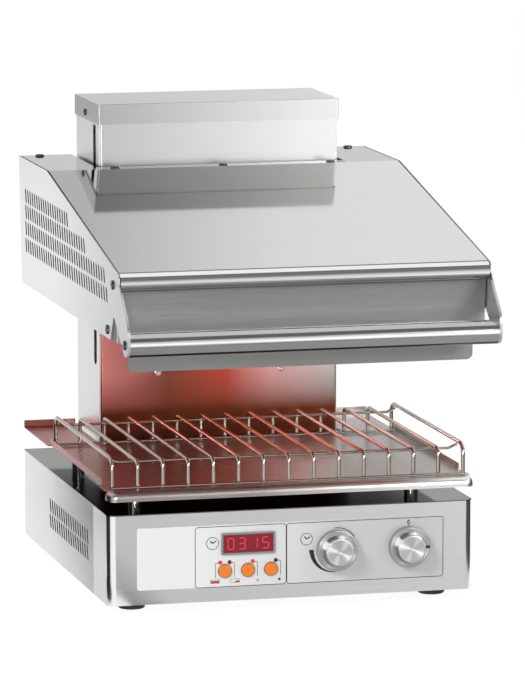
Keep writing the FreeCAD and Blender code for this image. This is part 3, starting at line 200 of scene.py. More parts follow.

# Screws, bolts and the knobs' shafts of stainless steel, turned and screwed in.
# The small domes mirror the dark of the room, and their steel is made dark as
# painted shade for it, so they look like dark dots with a bright point. Turning
# marks of 0.1 mm are drawn 1.1 mm wide.
turning_marks = 900.0
screw_steel, screw_shader = new_finish("steel turned for screws", "#464644", 1.0, 0.18)
screw_place = add(screw_steel, "ShaderNodeTexCoord", {}, {})
screw_marks = add(screw_steel, "ShaderNodeTexNoise", {"Scale": turning_marks},
                  {"Vector": screw_place.outputs["Object"]})
screw_gloss = add(screw_steel, "ShaderNodeMapRange", {"To Min": 0.12, "To Max": 0.26},
                  {"Value": screw_marks.outputs["Fac"]})
screw_steel.node_tree.links.new(screw_gloss.outputs[0], screw_shader.inputs["Roughness"])
coat(screw_steel, "base_screws", "hood_screws", "carriage_bolts", "timer_shaft", "power_shaft")

# Electrics inside the base: housings moulded of black and white nylon, a board
# of green laminate, spacers of turned brass and the cable gland at the back.
# The nylon is satin, the board glossier, and the brass has fine turned rings,
# drawn 1.1 mm apart so that they show.
black_plastic = moulded("nylon moulded black", "#1b1b1c", 0.45, 1200.0, 0.2)
white_plastic = moulded("nylon moulded white", "#d8d6cf", 0.5, 1200.0, 0.2)
board_green = moulded("board laminate pressed green", "#12512c", 0.35, 500.0, 0.1)
turned_brass = brushed_steel("brass turned", "#c8a45a", "#b8924a",
                             (200.0, 200.0, turning_marks), 0.25, 0.35, 0.1)
coat(black_plastic, "timer_switch", "power_regulator", "power_relay", "key_switches",
     "cable_gland")
coat(white_plastic, "terminal_block")
coat(board_green, "control_board")
coat(turned_brass, "board_spacers")

# Front foil: light grey polyester, printed and glued on the front panel. It is
# satin, so it looks flat and even beside the steel, and a little brighter. The
# photograph shows it darker toward the right, and that shade is painted into its colour.
foil_light_until, foil_dark_from = -0.13, 0.10
foil_grey = moulded("polyester foil printed grey", "#dcdddd", 0.42, 1500.0, 0.06)
foil_painted_shade = add(foil_grey, "ShaderNodeMix",
                {"data_type": "RGBA", 6: linear("#e6e7e7"), 7: linear("#c6c7c7")},
                {0: along(foil_grey, axis_x, foil_light_until, foil_dark_from)})
foil_shader = foil_grey.node_tree.nodes["Principled BSDF"]
foil_grey.node_tree.links.new(foil_painted_shade.outputs[2], foil_shader.inputs["Base Color"])
coat(foil_grey, "control_foil")

# Printing on the foil: two outlined fields, two clock faces, lamp leads, key
# signs and the scales round the knobs, screen printed in black and red. The
# ink is matt and 0.1 mm thick, so it stays dark where the foil shines.
panel_y = -0.204
print_y = -0.0006 + panel_y
ink_depth = 0.0001
ink = moulded("screen ink printed black", "#0e0e10", 0.6, 1500.0, 0.05)
red_ink = moulded("screen ink printed red", "#c03a34", 0.6, 1500.0, 0.05)


def deselect():
    """Nothing is selected before a new primitive is added."""
    bpy.ops.object.select_all(action="DESELECT")


def bar_on_foil(x0, z0, x1, z1, width, level=print_y, depth=ink_depth):
    """A flat printed bar from one point of the foil to another."""
    deselect()
    length = math.hypot(x1 - x0, z1 - z0)
    angle = math.atan2(z1 - z0, x1 - x0)
    place = ((x0 + x1) / 2, level - depth / 2, (z0 + z1) / 2)
    bpy.ops.mesh.primitive_cube_add(size=1.0, location=place, rotation=(0.0, -angle, 0.0))
    bar = bpy.context.object
    bar.scale = (length, depth, width)
    return bar


def thicken():
    """Gives the mesh in edit mode the ink's thickness, toward the front, and leaves edit mode."""
    bpy.ops.mesh.select_all(action="SELECT")
    bpy.ops.mesh.extrude_region_move(TRANSFORM_OT_translate={"value": (0.0, -ink_depth, 0.0)})
    bpy.ops.mesh.normals_make_consistent(inside=False)
    bpy.ops.object.mode_set(mode="OBJECT")


def ring_on_foil(x, z, radius, width, tall=1.0):
    """A flat printed ring, made from a disc that is inset, emptied and given its thickness."""
    deselect()
    bpy.ops.mesh.primitive_circle_add(vertices=48, radius=radius, fill_type="NGON",
                                      location=(x, print_y, z), rotation=(math.pi / 2, 0.0, 0.0))
    ring = bpy.context.object
    bpy.ops.object.mode_set(mode="EDIT")
    bpy.ops.mesh.select_all(action="SELECT")
    bpy.ops.mesh.inset(thickness=width)
    bpy.ops.mesh.delete(type="FACE")
    thicken()
    ring.scale = (1.0, tall, 1.0)
    return ring


def field_on_foil(left, right, low, high, corner, width):
    """A printed outline with rounded corners."""
    deselect()
    middle = ((left + right) / 2, print_y, (low + high) / 2)
    bpy.ops.mesh.primitive_plane_add(size=1.0, location=middle, rotation=(math.pi / 2, 0.0, 0.0))
    field = bpy.context.object
    field.scale = (right - left, high - low, 1.0)
    bpy.ops.object.transform_apply(location=True, rotation=True, scale=True)
    bpy.ops.object.mode_set(mode="EDIT")
    bpy.ops.mesh.select_all(action="SELECT")
    bpy.ops.mesh.bevel(offset=corner, segments=8, affect="VERTICES")
    bpy.ops.mesh.select_all(action="SELECT")
    bpy.ops.mesh.inset(thickness=width)
    bpy.ops.mesh.delete(type="FACE")
    thicken()
    return field


def crescent_on_foil(x, z, inner, widest, start, end, tip):
    """A printed scale that tapers round a knob: angles in degrees, counted from 3 o'clock."""
    deselect()
    steps = 24
    corners = []
    for index in range(steps + 1):
        share = index / steps
        angle = math.radians(start + (end - start) * share)
        outer = inner + tip + (widest - tip) * (1 - share)
        corners.append((x + inner * math.cos(angle), z + inner * math.sin(angle)))
        corners.append((x + outer * math.cos(angle), z + outer * math.sin(angle)))
    bpy.ops.mesh.primitive_grid_add(x_subdivisions=steps, y_subdivisions=1, size=1.0)
    scale = bpy.context.object
    for vertex in scale.data.vertices:
        column = round((vertex.co.x + 0.5) * steps)
        row = 0 if vertex.co.y < 0 else 1
        px, pz = corners[2 * column + row]
        vertex.co = (px, print_y, pz)
    bpy.ops.object.mode_set(mode="EDIT")
    thicken()
    return scale


def one_piece(name, parts, finish, body):
    """Joins parts into one piece at the origin, with its finish and body."""
    deselect()
    for part in parts:
        part.select_set(True)
    bpy.context.view_layer.objects.active = parts[0]
    bpy.ops.object.transform_apply(location=True, rotation=True, scale=True)
    if len(parts) > 1:
        bpy.ops.object.join()
    piece = bpy.context.object
    bpy.context.scene.cursor.location = (0.0, 0.0, 0.0)
    bpy.ops.object.origin_set(type="ORIGIN_CURSOR")
    piece.name = name
    piece.data.name = name
    piece.data.materials.clear()
    piece.data.materials.append(finish)
    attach(piece, body)


# Outlines of the two fields, drawn 0.8 mm wide.
outline = 0.0008
field_left, field_middle, field_right = -0.1259, -0.0071, 0.1990
field_low, field_high, field_corner = 0.0300, 0.1080, 0.004
dark_marks = [
    field_on_foil(field_left, field_middle, field_low, field_high, field_corner, outline),
    field_on_foil(field_middle, field_right, field_low, field_high, field_corner, outline)]

# Clock faces, each with a long and a short hand.
clock_z = 0.0864
for x, radius in [(-0.1032, 0.0082), (0.0191, 0.0080)]:
    dark_marks.append(ring_on_foil(x, clock_z, radius, outline))
    dark_marks.append(bar_on_foil(x, clock_z, x + 0.0046, clock_z + 0.0030, 0.0014))
    dark_marks.append(bar_on_foil(x, clock_z, x - 0.0028, clock_z + 0.0034, 0.0016))

# Leads from the lamps down to the keys, each with a short slope at its bend,
# and a ring round each key.
thin_line = 0.0006
key_x = [-0.0871, -0.0572, -0.0273]
key_z = 0.0505
lamp_x = [-0.0933, -0.0810, -0.0511, -0.0210]
lamp_z = 0.0615
lead_z, bend_z, lead_foot_z = lamp_z - 0.0004, lamp_z - 0.0017, 0.0420
for x, side in zip(lamp_x, [-1, 1, 1, 1]):
    foot_x = x + side * 0.0062
    dark_marks.append(bar_on_foil(x, lead_z, foot_x - side * 0.0012, lead_z, thin_line))
    dark_marks.append(bar_on_foil(foot_x - side * 0.0013, lead_z, foot_x, bend_z, thin_line))
    dark_marks.append(bar_on_foil(foot_x, lamp_z - 0.0016, foot_x, lead_foot_z, thin_line))
for x in key_x:
    dark_marks.append(ring_on_foil(x, key_z, 0.0092, thin_line))

# Key signs: a triangle of three bars and a square.
sign_x, sign_z, sign_radius = key_x[1] + 0.0125, 0.0370, 0.0017
for turn in [90, 210, 330]:
    a = math.radians(turn - 90)
    b = math.radians(turn + 30)
    dark_marks.append(bar_on_foil(sign_x + sign_radius * math.cos(a),
                                  sign_z + sign_radius * math.sin(a),
                                  sign_x + sign_radius * math.cos(b),
                                  sign_z + sign_radius * math.sin(b), 0.0005))
dark_marks.append(bar_on_foil(key_x[2] + 0.0095, sign_z, key_x[2] + 0.0125, sign_z, 0.0030))

# Scales: a wide and a thin crescent round the timer, a zero and its tick above
# the power knob.
timer_x, power_x, knob_z = 0.0580, 0.1529, 0.0708
dark_marks.append(crescent_on_foil(timer_x - 0.0012, knob_z + 0.0004, 0.0282, 0.0062,
                                   178.0, 272.0, 0.0003))
dark_marks.append(crescent_on_foil(timer_x, knob_z, 0.0280, 0.0014, 34.0, 96.0, 0.0006))
dark_marks.append(ring_on_foil(power_x, 0.1022, 0.0018, 0.0009, 1.7))
dark_marks.append(bar_on_foil(power_x, 0.0972, power_x, 0.0986, 0.0008))

# Boxes round two of the key signs, and the red marks beside them.
box_half, box_low, box_high, box_line = 0.0057, 0.0352, 0.0398, 0.0004
for x in [-0.1001, -0.0741]:
    for z in [box_low, box_high]:
        dark_marks.append(bar_on_foil(x - box_half, z, x + box_half, z, box_line))
    for edge in [-box_half, box_half]:
        dark_marks.append(bar_on_foil(x + edge, box_low, x + edge, box_high, box_line))
one_piece("foil_print_dark", dark_marks, ink, "base")
red_marks = [bar_on_foil(-0.1056, sign_z, -0.0946, sign_z, 0.0030),
             bar_on_foil(-0.0736, 0.0366, -0.0686, 0.0366, 0.0022)]
one_piece("foil_print_red", red_marks, red_ink, "base")

# Display: a frame of silver anodised aluminium round a filter of dark red
# acrylic, which is glossy. Behind it a seven-segment module shows four plain
# digits, drawn here on the filter's face as they glow, a little uneven in
# cells of 1.1 mm.
frame_silver = brushed_steel("aluminium anodised silver", "#a8a8a8", "#949494",
                             along_x, 0.25, 0.35, 0.1)
coat(frame_silver, "display_bezel")
window_red = moulded("acrylic moulded dark red", "#861022", 0.12, 600.0, 0.02)
coat(window_red, "display_window")
coat(black_plastic, "display_module")
glow_red, glow_shader = new_finish("segments glowing red", "#5a1018", 0.0, 0.4)
glow_shader.inputs["Emission Strength"].default_value = 1.0
glow_place = add(glow_red, "ShaderNodeTexCoord", {}, {})
glow_cells = add(glow_red, "ShaderNodeTexNoise", {"Scale": 900.0},
                 {"Vector": glow_place.outputs["Object"]})
glow_tone = add(glow_red, "ShaderNodeMix",
                {"data_type": "RGBA", 6: linear("#d02040"), 7: linear("#dc3450")},
                {0: glow_cells.outputs["Fac"]})
glow_red.node_tree.links.new(glow_tone.outputs[2], glow_shader.inputs["Emission Color"])
segments = {"0": "abcdef", "3": "abcdg", "1": "bc", "5": "acdfg"}
digit_w, digit_h, stroke, gap = 0.0076, 0.0140, 0.0016, 0.0006
window_z = 0.0850
low, high = window_z - digit_h / 2, window_z + digit_h / 2
window_face = print_y - 0.0010
digits = []
for character, x in zip("0315", [-0.0795, -0.0648, -0.0492, -0.0345]):
    left, right = x - digit_w / 2, x + digit_w / 2
    runs = {"a": (left, high, right, high), "d": (left, low, right, low),
            "g": (left, window_z, right, window_z),
            "b": (right, window_z, right, high), "c": (right, low, right, window_z),
            "f": (left, window_z, left, high), "e": (left, low, left, window_z)}
    for name in segments[character]:
        x0, z0, x1, z1 = runs[name]
        dx, dz = (gap, 0.0) if z0 == z1 else (0.0, gap)
        digits.append(bar_on_foil(x0 + dx, z0 + dz, x1 - dx, z1 - dz,
                                  stroke, window_face, 0.0002))
one_piece("display_digits", digits, glow_red, "base")

# Three keys: caps moulded of orange ABS, glossy enough for a soft highlight,
# in their holes in the foil and each on its own body. Four small lamps with
# clear red lenses stand above them: the first and the third are lit.
key_orange = moulded("abs moulded orange", "#f07d0e", 0.25, 1200.0, 0.08)
coat(key_orange, "select_button", "start_button", "stop_button")
lamp_red = moulded("acrylic lens moulded red", "#5a1512", 0.15, 900.0, 0.05)
lamp_shader = lamp_red.node_tree.nodes["Principled BSDF"]
lamp_place = add(lamp_red, "ShaderNodeTexCoord", {}, {})
lamp_parts = add(lamp_red, "ShaderNodeSeparateXYZ", {}, {0: lamp_place.outputs["Object"]})
lamp_lit = []
for middle in [lamp_x[0], lamp_x[2]]:
    lamp_lit.append(add(lamp_red, "ShaderNodeMath", {"operation": "COMPARE", 1: middle, 2: 0.004},
                        {0: lamp_parts.outputs[0]}))
lamp_on = add(lamp_red, "ShaderNodeMath", {"operation": "ADD"},
              {0: lamp_lit[0].outputs[0], 1: lamp_lit[1].outputs[0]})
lamp_share = add(lamp_red, "ShaderNodeMath", {"operation": "MULTIPLY", 1: 0.7},
                 {0: lamp_on.outputs[0]})
lamp_shader.inputs["Emission Color"].default_value = linear("#ff3a20")
lamp_red.node_tree.links.new(lamp_share.outputs[0], lamp_shader.inputs["Emission Strength"])
coat(lamp_red, "indicator_lamps")


# Knobs: solid aluminium, turned on a lathe and pushed on their shafts. The fine
# rings left by the tool spread each highlight into two cones that meet in the
# centre.
def spun_metal(name, light, dark):
    """Turned aluminium: rings about 0.4 mm wide round the knob's own axis shift the tone a little,
    and lamps and windows draw out into cones. Distances count from the axis, in knob widths."""
    finish, shader = new_finish(name, light, 1.0, 0.30)
    shader.inputs["Anisotropic"].default_value = 0.85
    turned = add(finish, "ShaderNodeTangent", {"direction_type": "RADIAL", "axis": "Y"}, {})
    place = add(finish, "ShaderNodeTexCoord", {}, {})
    centred = add(finish, "ShaderNodeMapping",
                  {"Location": (-0.5, 0.0, -0.5), "Scale": (1.0, 0.0, 1.0)},
                  {"Vector": place.outputs["Generated"]})
    distance = add(finish, "ShaderNodeVectorMath", {"operation": "LENGTH"},
                   {0: centred.outputs[0]})
    rings = add(finish, "ShaderNodeTexNoise",
                {"noise_dimensions": "1D", "Scale": 120.0, "Detail": 2.0},
                {"W": distance.outputs["Value"]})
    colour = add(finish, "ShaderNodeMix", {"data_type": "RGBA", 6: linear(dark), 7: linear(light)},
                 {0: rings.outputs["Fac"]})
    tree = finish.node_tree
    tree.links.new(turned.outputs[0], shader.inputs["Tangent"])
    tree.links.new(colour.outputs[2], shader.inputs["Base Color"])
    # Outside the face the grip and the skirt are painted a little darker, as painted shade.
    edge = add(finish, "ShaderNodeMapRange", {"From Min": 0.335, "From Max": 0.350},
               {"Value": distance.outputs["Value"]})
    recolour(finish, edge.outputs[0], "#b0b0b0")
    # A painted highlight: a glowing wedge on the grip, up to the left, where a window's reflection
    # would be.
    outward = add(finish, "ShaderNodeVectorMath", {"operation": "NORMALIZE"},
                  {0: centred.outputs[0]})
    up_left = (-0.90, 0.0, 0.44)
    toward = add(finish, "ShaderNodeVectorMath", {"operation": "DOT_PRODUCT", 1: up_left},
                 {0: outward.outputs[0]})
    wedge = add(finish, "ShaderNodeMapRange", {"From Min": 0.955, "From Max": 0.975},
                {"Value": toward.outputs["Value"]})
    grip = add(finish, "ShaderNodeMath", {"operation": "COMPARE", 1: 0.365, 2: 0.025},
               {0: distance.outputs["Value"]})
    bright = add(finish, "ShaderNodeMath", {"operation": "MULTIPLY"},
                 {0: wedge.outputs[0], 1: grip.outputs[0]})
    painted_glint = add(finish, "ShaderNodeMath", {"operation": "MULTIPLY", 1: 0.6},
                {0: bright.outputs[0]})
    tree.links.new(painted_glint.outputs[0], shader.inputs["Emission Strength"])
    return finish


coat(spun_metal("aluminium turned", "#dcdcdc", "#bcbcbc"), "timer_knob", "power_knob")

# Pointer of the power knob: a short bar on the skirt's face, 0.8 mm thick and
# matt black like the printing. It turns with the knob, so it is on its body.
skirt_face = panel_y - 0.0090
pointer = bar_on_foil(power_x + 0.0196, knob_z, power_x + 0.0260, knob_z,
                      0.0036, skirt_face, 0.0008)
one_piece("power_pointer", [pointer], ink, "power_control")

# Tray on four posts of bright turned rod, and the grid that stands loose in it.
# The tray is folded from satin stainless steel. The grid is welded from round
# wire, drawn and plated bright, so that each wire shows a dark and a light line.
# Turning rings on the posts are drawn 2.5 mm apart so that they show.
post_steel = brushed_steel("steel rod turned bright", "#d4d4d2", "#c4c4c2",
                           (90.0, 90.0, 400.0), 0.08, 0.16, 0.05)
tray_steel = brushed_steel("steel brushed satin for the tray", "#c0bbb7", "#b3aeaa",
                           along_x, 0.26, 0.34, 0.01)
# Drawing marks of 0.1 mm are drawn 5 mm wide and 50 mm long.
wire_steel = brushed_steel("steel wire plated bright", "#c9c0b8", "#b5aaa2",
                           (200.0, 20.0, 200.0), 0.08, 0.16, 0.04)


def facing(finish, operation, limit):
    """A mask that is 1 where the face's own normal points up by more, or by less, than a limit."""
    sides = add(finish, "ShaderNodeNewGeometry", {}, {})
    parts = add(finish, "ShaderNodeSeparateXYZ", {}, {0: sides.outputs["True Normal"]})
    return add(finish, "ShaderNodeMath", {"operation": operation, 1: limit},
               {0: parts.outputs[2]}).outputs[0]


# Second tones of the tray, all painted light and shade: a red glow painted toward
# its left, a front lip painted greyer that grows to a painted highlight toward
# the right, and painted shade on its underside.
recolour(tray_steel, along(tray_steel, axis_x, -0.08, -0.20), "#b4726a")
tray_lip = along(tray_steel, axis_y, -0.196, -0.204)
recolour(tray_steel, tray_lip, "#a8a09c")
tray_painted_highlight = add(tray_steel, "ShaderNodeMath", {"operation": "MULTIPLY"},
                  {0: tray_lip, 1: along(tray_steel, axis_x, -0.05, 0.17)})
recolour(tray_steel, tray_painted_highlight.outputs[0], "#f4f2ee")
recolour(tray_steel, facing(tray_steel, "LESS_THAN", -0.9), "#0a0a0a")
coat(post_steel, "tray_posts")
coat(tray_steel, "tray")
coat(wire_steel, "grid")

# Column: a folded shell with a slot in each side for the lift's arms, a front
# sheet and a cap, of brushed stainless steel and screwed together. The front
# is brushed so evenly that it reads as one smooth, soft tone.
column_half = 0.162
column_front_steel = brushed_steel("steel brushed for the column front", "#d7d7d5", "#d4d4d2",
                                   along_x, 0.28, 0.29, 0.01)
column_steel = brushed_steel("steel brushed upright", "#dededc", "#d2d2d0",
                             along_z, 0.28, 0.38, 0.2)
cap_steel = brushed_steel("steel brushed for the cap", "#cbcbc9", "#c9c9c7",
                          along_x, 0.30, 0.31, 0.002)
# Painted shade and light: the front and the cap grow darker to the left, and the cap's top is
# painted lighter.
recolour(column_front_steel, along(column_front_steel, axis_x, 0.12, -0.17), "#b9b9b7")
recolour(cap_steel, along(cap_steel, axis_x, 0.12, -0.17), "#a5a5a3")
recolour(cap_steel, facing(cap_steel, "GREATER_THAN", 0.9), "#eaeae8")
# Below the hood the heater's red light is painted into the front's colour: the
# stops give its tone across the column, and it grows darker and browner toward the tray.
painted_glow_stops = [(0.0, "#e48f8b"), (0.28, "#8e5044"), (0.53, "#ca5848"), (0.72, "#e4acaa"),
              (0.97, "#d4ccca")]


def lay_stops(elements, stops):
    """Lays a ramp's colours out from 0 to 1: each stop is a place with its linear colour."""
    while len(elements) < len(stops):
        elements.new(0.5)
    for element, (where, tone) in zip(elements, stops):
        element.position = where
    for element, (where, tone) in zip(elements, stops):
        element.color = tone


painted_glow_ramp = add(column_front_steel, "ShaderNodeValToRGB", {},
                {0: along(column_front_steel, axis_x, -column_half, column_half)})
lay_stops(painted_glow_ramp.color_ramp.elements, [(where, linear(tone)) for where, tone in painted_glow_stops])
painted_glow_browner = add(column_front_steel, "ShaderNodeMix",
                {"data_type": "RGBA", 7: linear("#6e3826")},
                {0: along(column_front_steel, axis_z, 0.245, 0.190), 6: painted_glow_ramp.outputs[0]})
column_shader = column_front_steel.node_tree.nodes["Principled BSDF"]
column_tone = column_shader.inputs["Base Color"].links[0].from_socket
painted_glow_tone = add(column_front_steel, "ShaderNodeMix", {"data_type": "RGBA"},
                {0: along(column_front_steel, axis_z, 0.37, 0.30), 6: column_tone,
                 7: painted_glow_browner.outputs[2]})
column_front_steel.node_tree.links.new(painted_glow_tone.outputs[2], column_shader.inputs["Base Color"])
coat(column_front_steel, "column_front")
coat(cap_steel, "column_cap")
coat(column_steel, "column_shell")
coat(inner_steel, "column_foot", "top_plate")
# The column's own screws: painted bright and pink where the heater's light would fall on them, and
# painted dark as shade above.
column_screw_steel = brushed_steel("steel turned for column screws", "#f0dcd6", "#e2cac4",
                                   along_x, 0.12, 0.22, 0.05)
recolour(column_screw_steel, along(column_screw_steel, axis_z, 0.38, 0.46), "#464644")
coat(column_screw_steel, "column_screws")

# Lift inside the column: rods ground and hard chromed, brass bushes, gas
# springs painted black, a carriage welded from steel and a bar of rubber that
# stops it. The chrome mirrors sharply and the paint has a soft highlight. The
# fine grinding rings round the rods are drawn 1.1 mm apart so that they show.
rod_chrome = brushed_steel("chrome ground on rod", "#e2e2e2", "#d6d6d6",
                           (90.0, 90.0, 900.0), 0.06, 0.12, 0.03)
black_paint = moulded("paint sprayed gloss black", "#101011", 0.25, 300.0, 0.05)
coat(rod_chrome, "guide_rods", "gas_rods")
coat(black_paint, "gas_tubes")
coat(inner_steel, "carriage")
coat(turned_brass, "guide_bushes")
coat(black_rubber, "stop_bar")

# Hood: a bent top sheet with a rounded nose between two vented side plates, a
# recessed front panel, a liner round the column and two back plates, all of
# stainless steel and held by screws through the sides. The top is polished in
# marks drawn 2.5 mm wide and mirrors the column. The sides are brushed satin.
polish_marks = (400.0, 10.0, 10.0)
hood_steel = brushed_steel("steel polished for the hood", "#d4d4d2", "#cdcdcb",
                           polish_marks, 0.05, 0.07, 0.02)
# The recess is given dark steel, as painted shade.
recess_steel = brushed_steel("steel brushed for the recess", "#848482", "#7c7c7a",
                             along_x, 0.34, 0.42, 0.10)
frame_steel = brushed_steel("steel brushed for the heater frame", "#8c8c8a", "#828280",
                            along_x, 0.34, 0.42, 0.10)
hood_side_steel = brushed_steel("steel brushed for the hood side", "#ededeb", "#e3e3e1",
                                along_y, 0.30, 0.38, 0.12)
# The inner faces get painted shade, black, except on the arms in front of the
# nose, which stay bright on their inner face. Toward the front, the sides are
# painted a little darker, as painted shade.
hood_outer_face = 0.2389
arm_back = -0.262
paint_shade_inside(hood_side_steel, hood_outer_face, arm_back)
recolour(hood_side_steel, along(hood_side_steel, axis_y, 0.12, -0.28), "#c4c4c2")
# Painted reflections in bands by the way the top sheet faces: the flat top, the
# slope, the nose's front, its lower turn and, painted dark as shade, its underside.
recolour(hood_steel, facing(hood_steel, "GREATER_THAN", 0.995), "#dededc")
recolour(hood_steel, facing(hood_steel, "LESS_THAN", 0.93), "#eeeeec")
# A painted shadow: a dark line where the top sheet meets the column's foot, as wide as the column.
painted_shadow_strip = along(hood_steel, axis_y, 0.146, 0.152)
for edge in [-column_half - 0.001, column_half + 0.001]:
    painted_shadow_strip = add(hood_steel, "ShaderNodeMath", {"operation": "MULTIPLY"},
                {0: painted_shadow_strip, 1: along(hood_steel, axis_x, edge * 1.04, edge)}).outputs[0]
recolour(hood_steel, painted_shadow_strip, "#3c3c3a")
# Further painted reflection bands, down to painted shade on the underside.
recolour(hood_steel, facing(hood_steel, "LESS_THAN", 0.45), "#dadad8")
recolour(hood_steel, facing(hood_steel, "LESS_THAN", -0.1), "#8e8e8c")
recolour(hood_steel, facing(hood_steel, "LESS_THAN", -0.93), "#0c0c0c")
# The recess is painted lighter downward, and its end flanges get painted shade.
flange_inner, flange_outer = 0.2365, 0.2373
recolour(recess_steel, along(recess_steel, axis_z, 0.425, 0.385), "#ababa9")
for side in [-1, 1]:
    recolour(recess_steel, along(recess_steel, axis_x, side * flange_inner, side * flange_outer),
             "#5c5c5a")
# The heater frame is black on top.
recolour(frame_steel, facing(frame_steel, "GREATER_THAN", 0.9), "#0c0c0c")
coat(hood_steel, "hood_top")
coat(hood_side_steel, "hood_side_left", "hood_side_right")
coat(recess_steel, "hood_front")
coat(frame_steel, "heater_frame")
coat(column_steel, "hood_back_left", "hood_back_right")
coat(inner_steel, "hood_liner")

# Handle: a round tube of stainless steel, polished along its length and held
# between the hood's arms. Light and dark bands are painted along it as painted
# reflections, from the bright top to the painted shade of the dark underside.
# Each tone below is for what faces up by less than its limit.
handle_steel = brushed_steel("steel tube polished", "#f8f8f6", "#f2f2f0",
                             along_x, 0.12, 0.2, 0.06)
for limit, tone in [(0.90, "#bebebc"), (0.42, "#fcfcfa"), (-0.02, "#a6a6a4"),
                    (-0.72, "#060606")]:
    recolour(handle_steel, facing(handle_steel, "LESS_THAN", limit), tone)
coat(handle_steel, "handle_bar")

# Heater: ribbons of heating alloy in two dishes pressed of ceramic fibre, which
# are chalky and matt, above a panel of dark glass ceramic. The ribbons are hotter
# in patches of 17 mm. The panel is glossy, and the ribbons' red light shining
# through it is painted on its underside as a glow, in patches of 70 mm.
dish_ceramic = moulded("ceramic fibre pressed", "#8a857b", 0.9, 700.0, 0.4)
coat(dish_ceramic, "heater_dishes")
coat(inner_steel, "heater_clamps")
ribbon_glow, ribbon_shader = new_finish("heating ribbon rolled and hot", "#ff6a2a", 0.0, 0.6)
ribbon_place = add(ribbon_glow, "ShaderNodeTexCoord", {}, {})
ribbon_spots = add(ribbon_glow, "ShaderNodeTexNoise", {"Scale": 60.0},
                   {"Vector": ribbon_place.outputs["Object"]})
ribbon_tone = add(ribbon_glow, "ShaderNodeMix",
                  {"data_type": "RGBA", 6: linear("#ff4a14"), 7: linear("#ff7a34")},
                  {0: ribbon_spots.outputs["Fac"]})
ribbon_glow.node_tree.links.new(ribbon_tone.outputs[2], ribbon_shader.inputs["Emission Color"])
ribbon_shader.inputs["Emission Strength"].default_value = 1.5
coat(ribbon_glow, "heater_ribbons")
glass_red, glass_shader = new_finish("glass ceramic rolled", "#1a0806", 0.0, 0.08)
glass_place = add(glass_red, "ShaderNodeTexCoord", {}, {})
glass_spots = add(glass_red, "ShaderNodeTexNoise", {"Scale": 14.0, "Detail": 2.0},
                  {"Vector": glass_place.outputs["Object"]})
glass_painted_glow = add(glass_red, "ShaderNodeMix",
                 {"data_type": "RGBA", 6: linear("#ff4a2c"), 7: linear("#ff7850")},
                 {0: glass_spots.outputs["Fac"]})
glass_power = add(glass_red, "ShaderNodeMath", {"operation": "MULTIPLY", 1: 0.3},
                  {0: facing(glass_red, "LESS_THAN", -0.9)})
glass_red.node_tree.links.new(glass_painted_glow.outputs[2], glass_shader.inputs["Emission Color"])
glass_red.node_tree.links.new(glass_power.outputs[0], glass_shader.inputs["Emission Strength"])
coat(glass_red, "glass_panel")

# Camera: a long lens left of the grill's front and a little above it, fitted
# to straight edges measured in the photograph.
camera_tilt, camera_pan = -8.679, -14.295
bpy.ops.object.camera_add(location=(-1.63431, -6.46827, 1.3169),
                          rotation=(math.radians(90.0 + camera_tilt), 0.0,
                                    math.radians(camera_pan)))
camera = bpy.context.object
camera.data.sensor_fit = "VERTICAL"
camera.data.sensor_height = 36.0
camera.data.lens = 268.25
camera.data.clip_end = 100.0
bpy.context.scene.camera = camera

# Studio: a white paper floor, which is lit mostly by itself so that it stays
# white, and a white surround. The surround shows at full strength only to the
# camera and in gloss and glass, and lights the grill at a lower level.
deselect()
bpy.ops.mesh.primitive_plane_add(size=40.0, location=(0.0, 0.0, 0.0))
floor = bpy.context.object
floor.name = "floor"
floor_white, floor_shader = new_finish("studio floor white", "#ffffff", 0.0, 0.9)
floor_glow = add(floor_white, "ShaderNodeEmission",
                 {"Color": (1.0, 1.0, 1.0, 1.0), "Strength": 1.04}, {})
floor_mix = add(floor_white, "ShaderNodeMixShader", {0: 0.93},
                {1: floor_shader.outputs[0], 2: floor_glow.outputs[0]})
floor_end = floor_white.node_tree.nodes["Material Output"]
floor_white.node_tree.links.new(floor_mix.outputs[0], floor_end.inputs[0])
floor.data.materials.append(floor_white)

surround = bpy.data.worlds.new("studio")
bpy.context.scene.world = surround
surround.use_nodes = True
path = add(surround, "ShaderNodeLightPath", {}, {})
seen = add(surround, "ShaderNodeMath", {"operation": "MAXIMUM"},
           {0: path.outputs["Is Camera Ray"], 1: path.outputs["Is Glossy Ray"]})
seen_or_through = add(surround, "ShaderNodeMath", {"operation": "MAXIMUM"},
                      {0: seen.outputs[0], 1: path.outputs["Is Transmission Ray"]})
level = add(surround, "ShaderNodeMapRange", {"To Min": 0.42, "To Max": 1.0},
            {"Value": seen_or_through.outputs[0]})
backdrop = surround.node_tree.nodes["Background"]
backdrop.inputs["Color"].default_value = (1.0, 1.0, 1.0, 1.0)
surround.node_tree.links.new(level.outputs[0], backdrop.inputs["Strength"])

# Grey cards out of sight give the steel something darker to mirror. None of
# them is seen by the camera, lights a matt face or throws a shadow.
upright = (90.0, 0.0, 0.0)
upright_sideways = (90.0, 0.0, 90.0)
lying = (0.0, 0.0, 0.0)


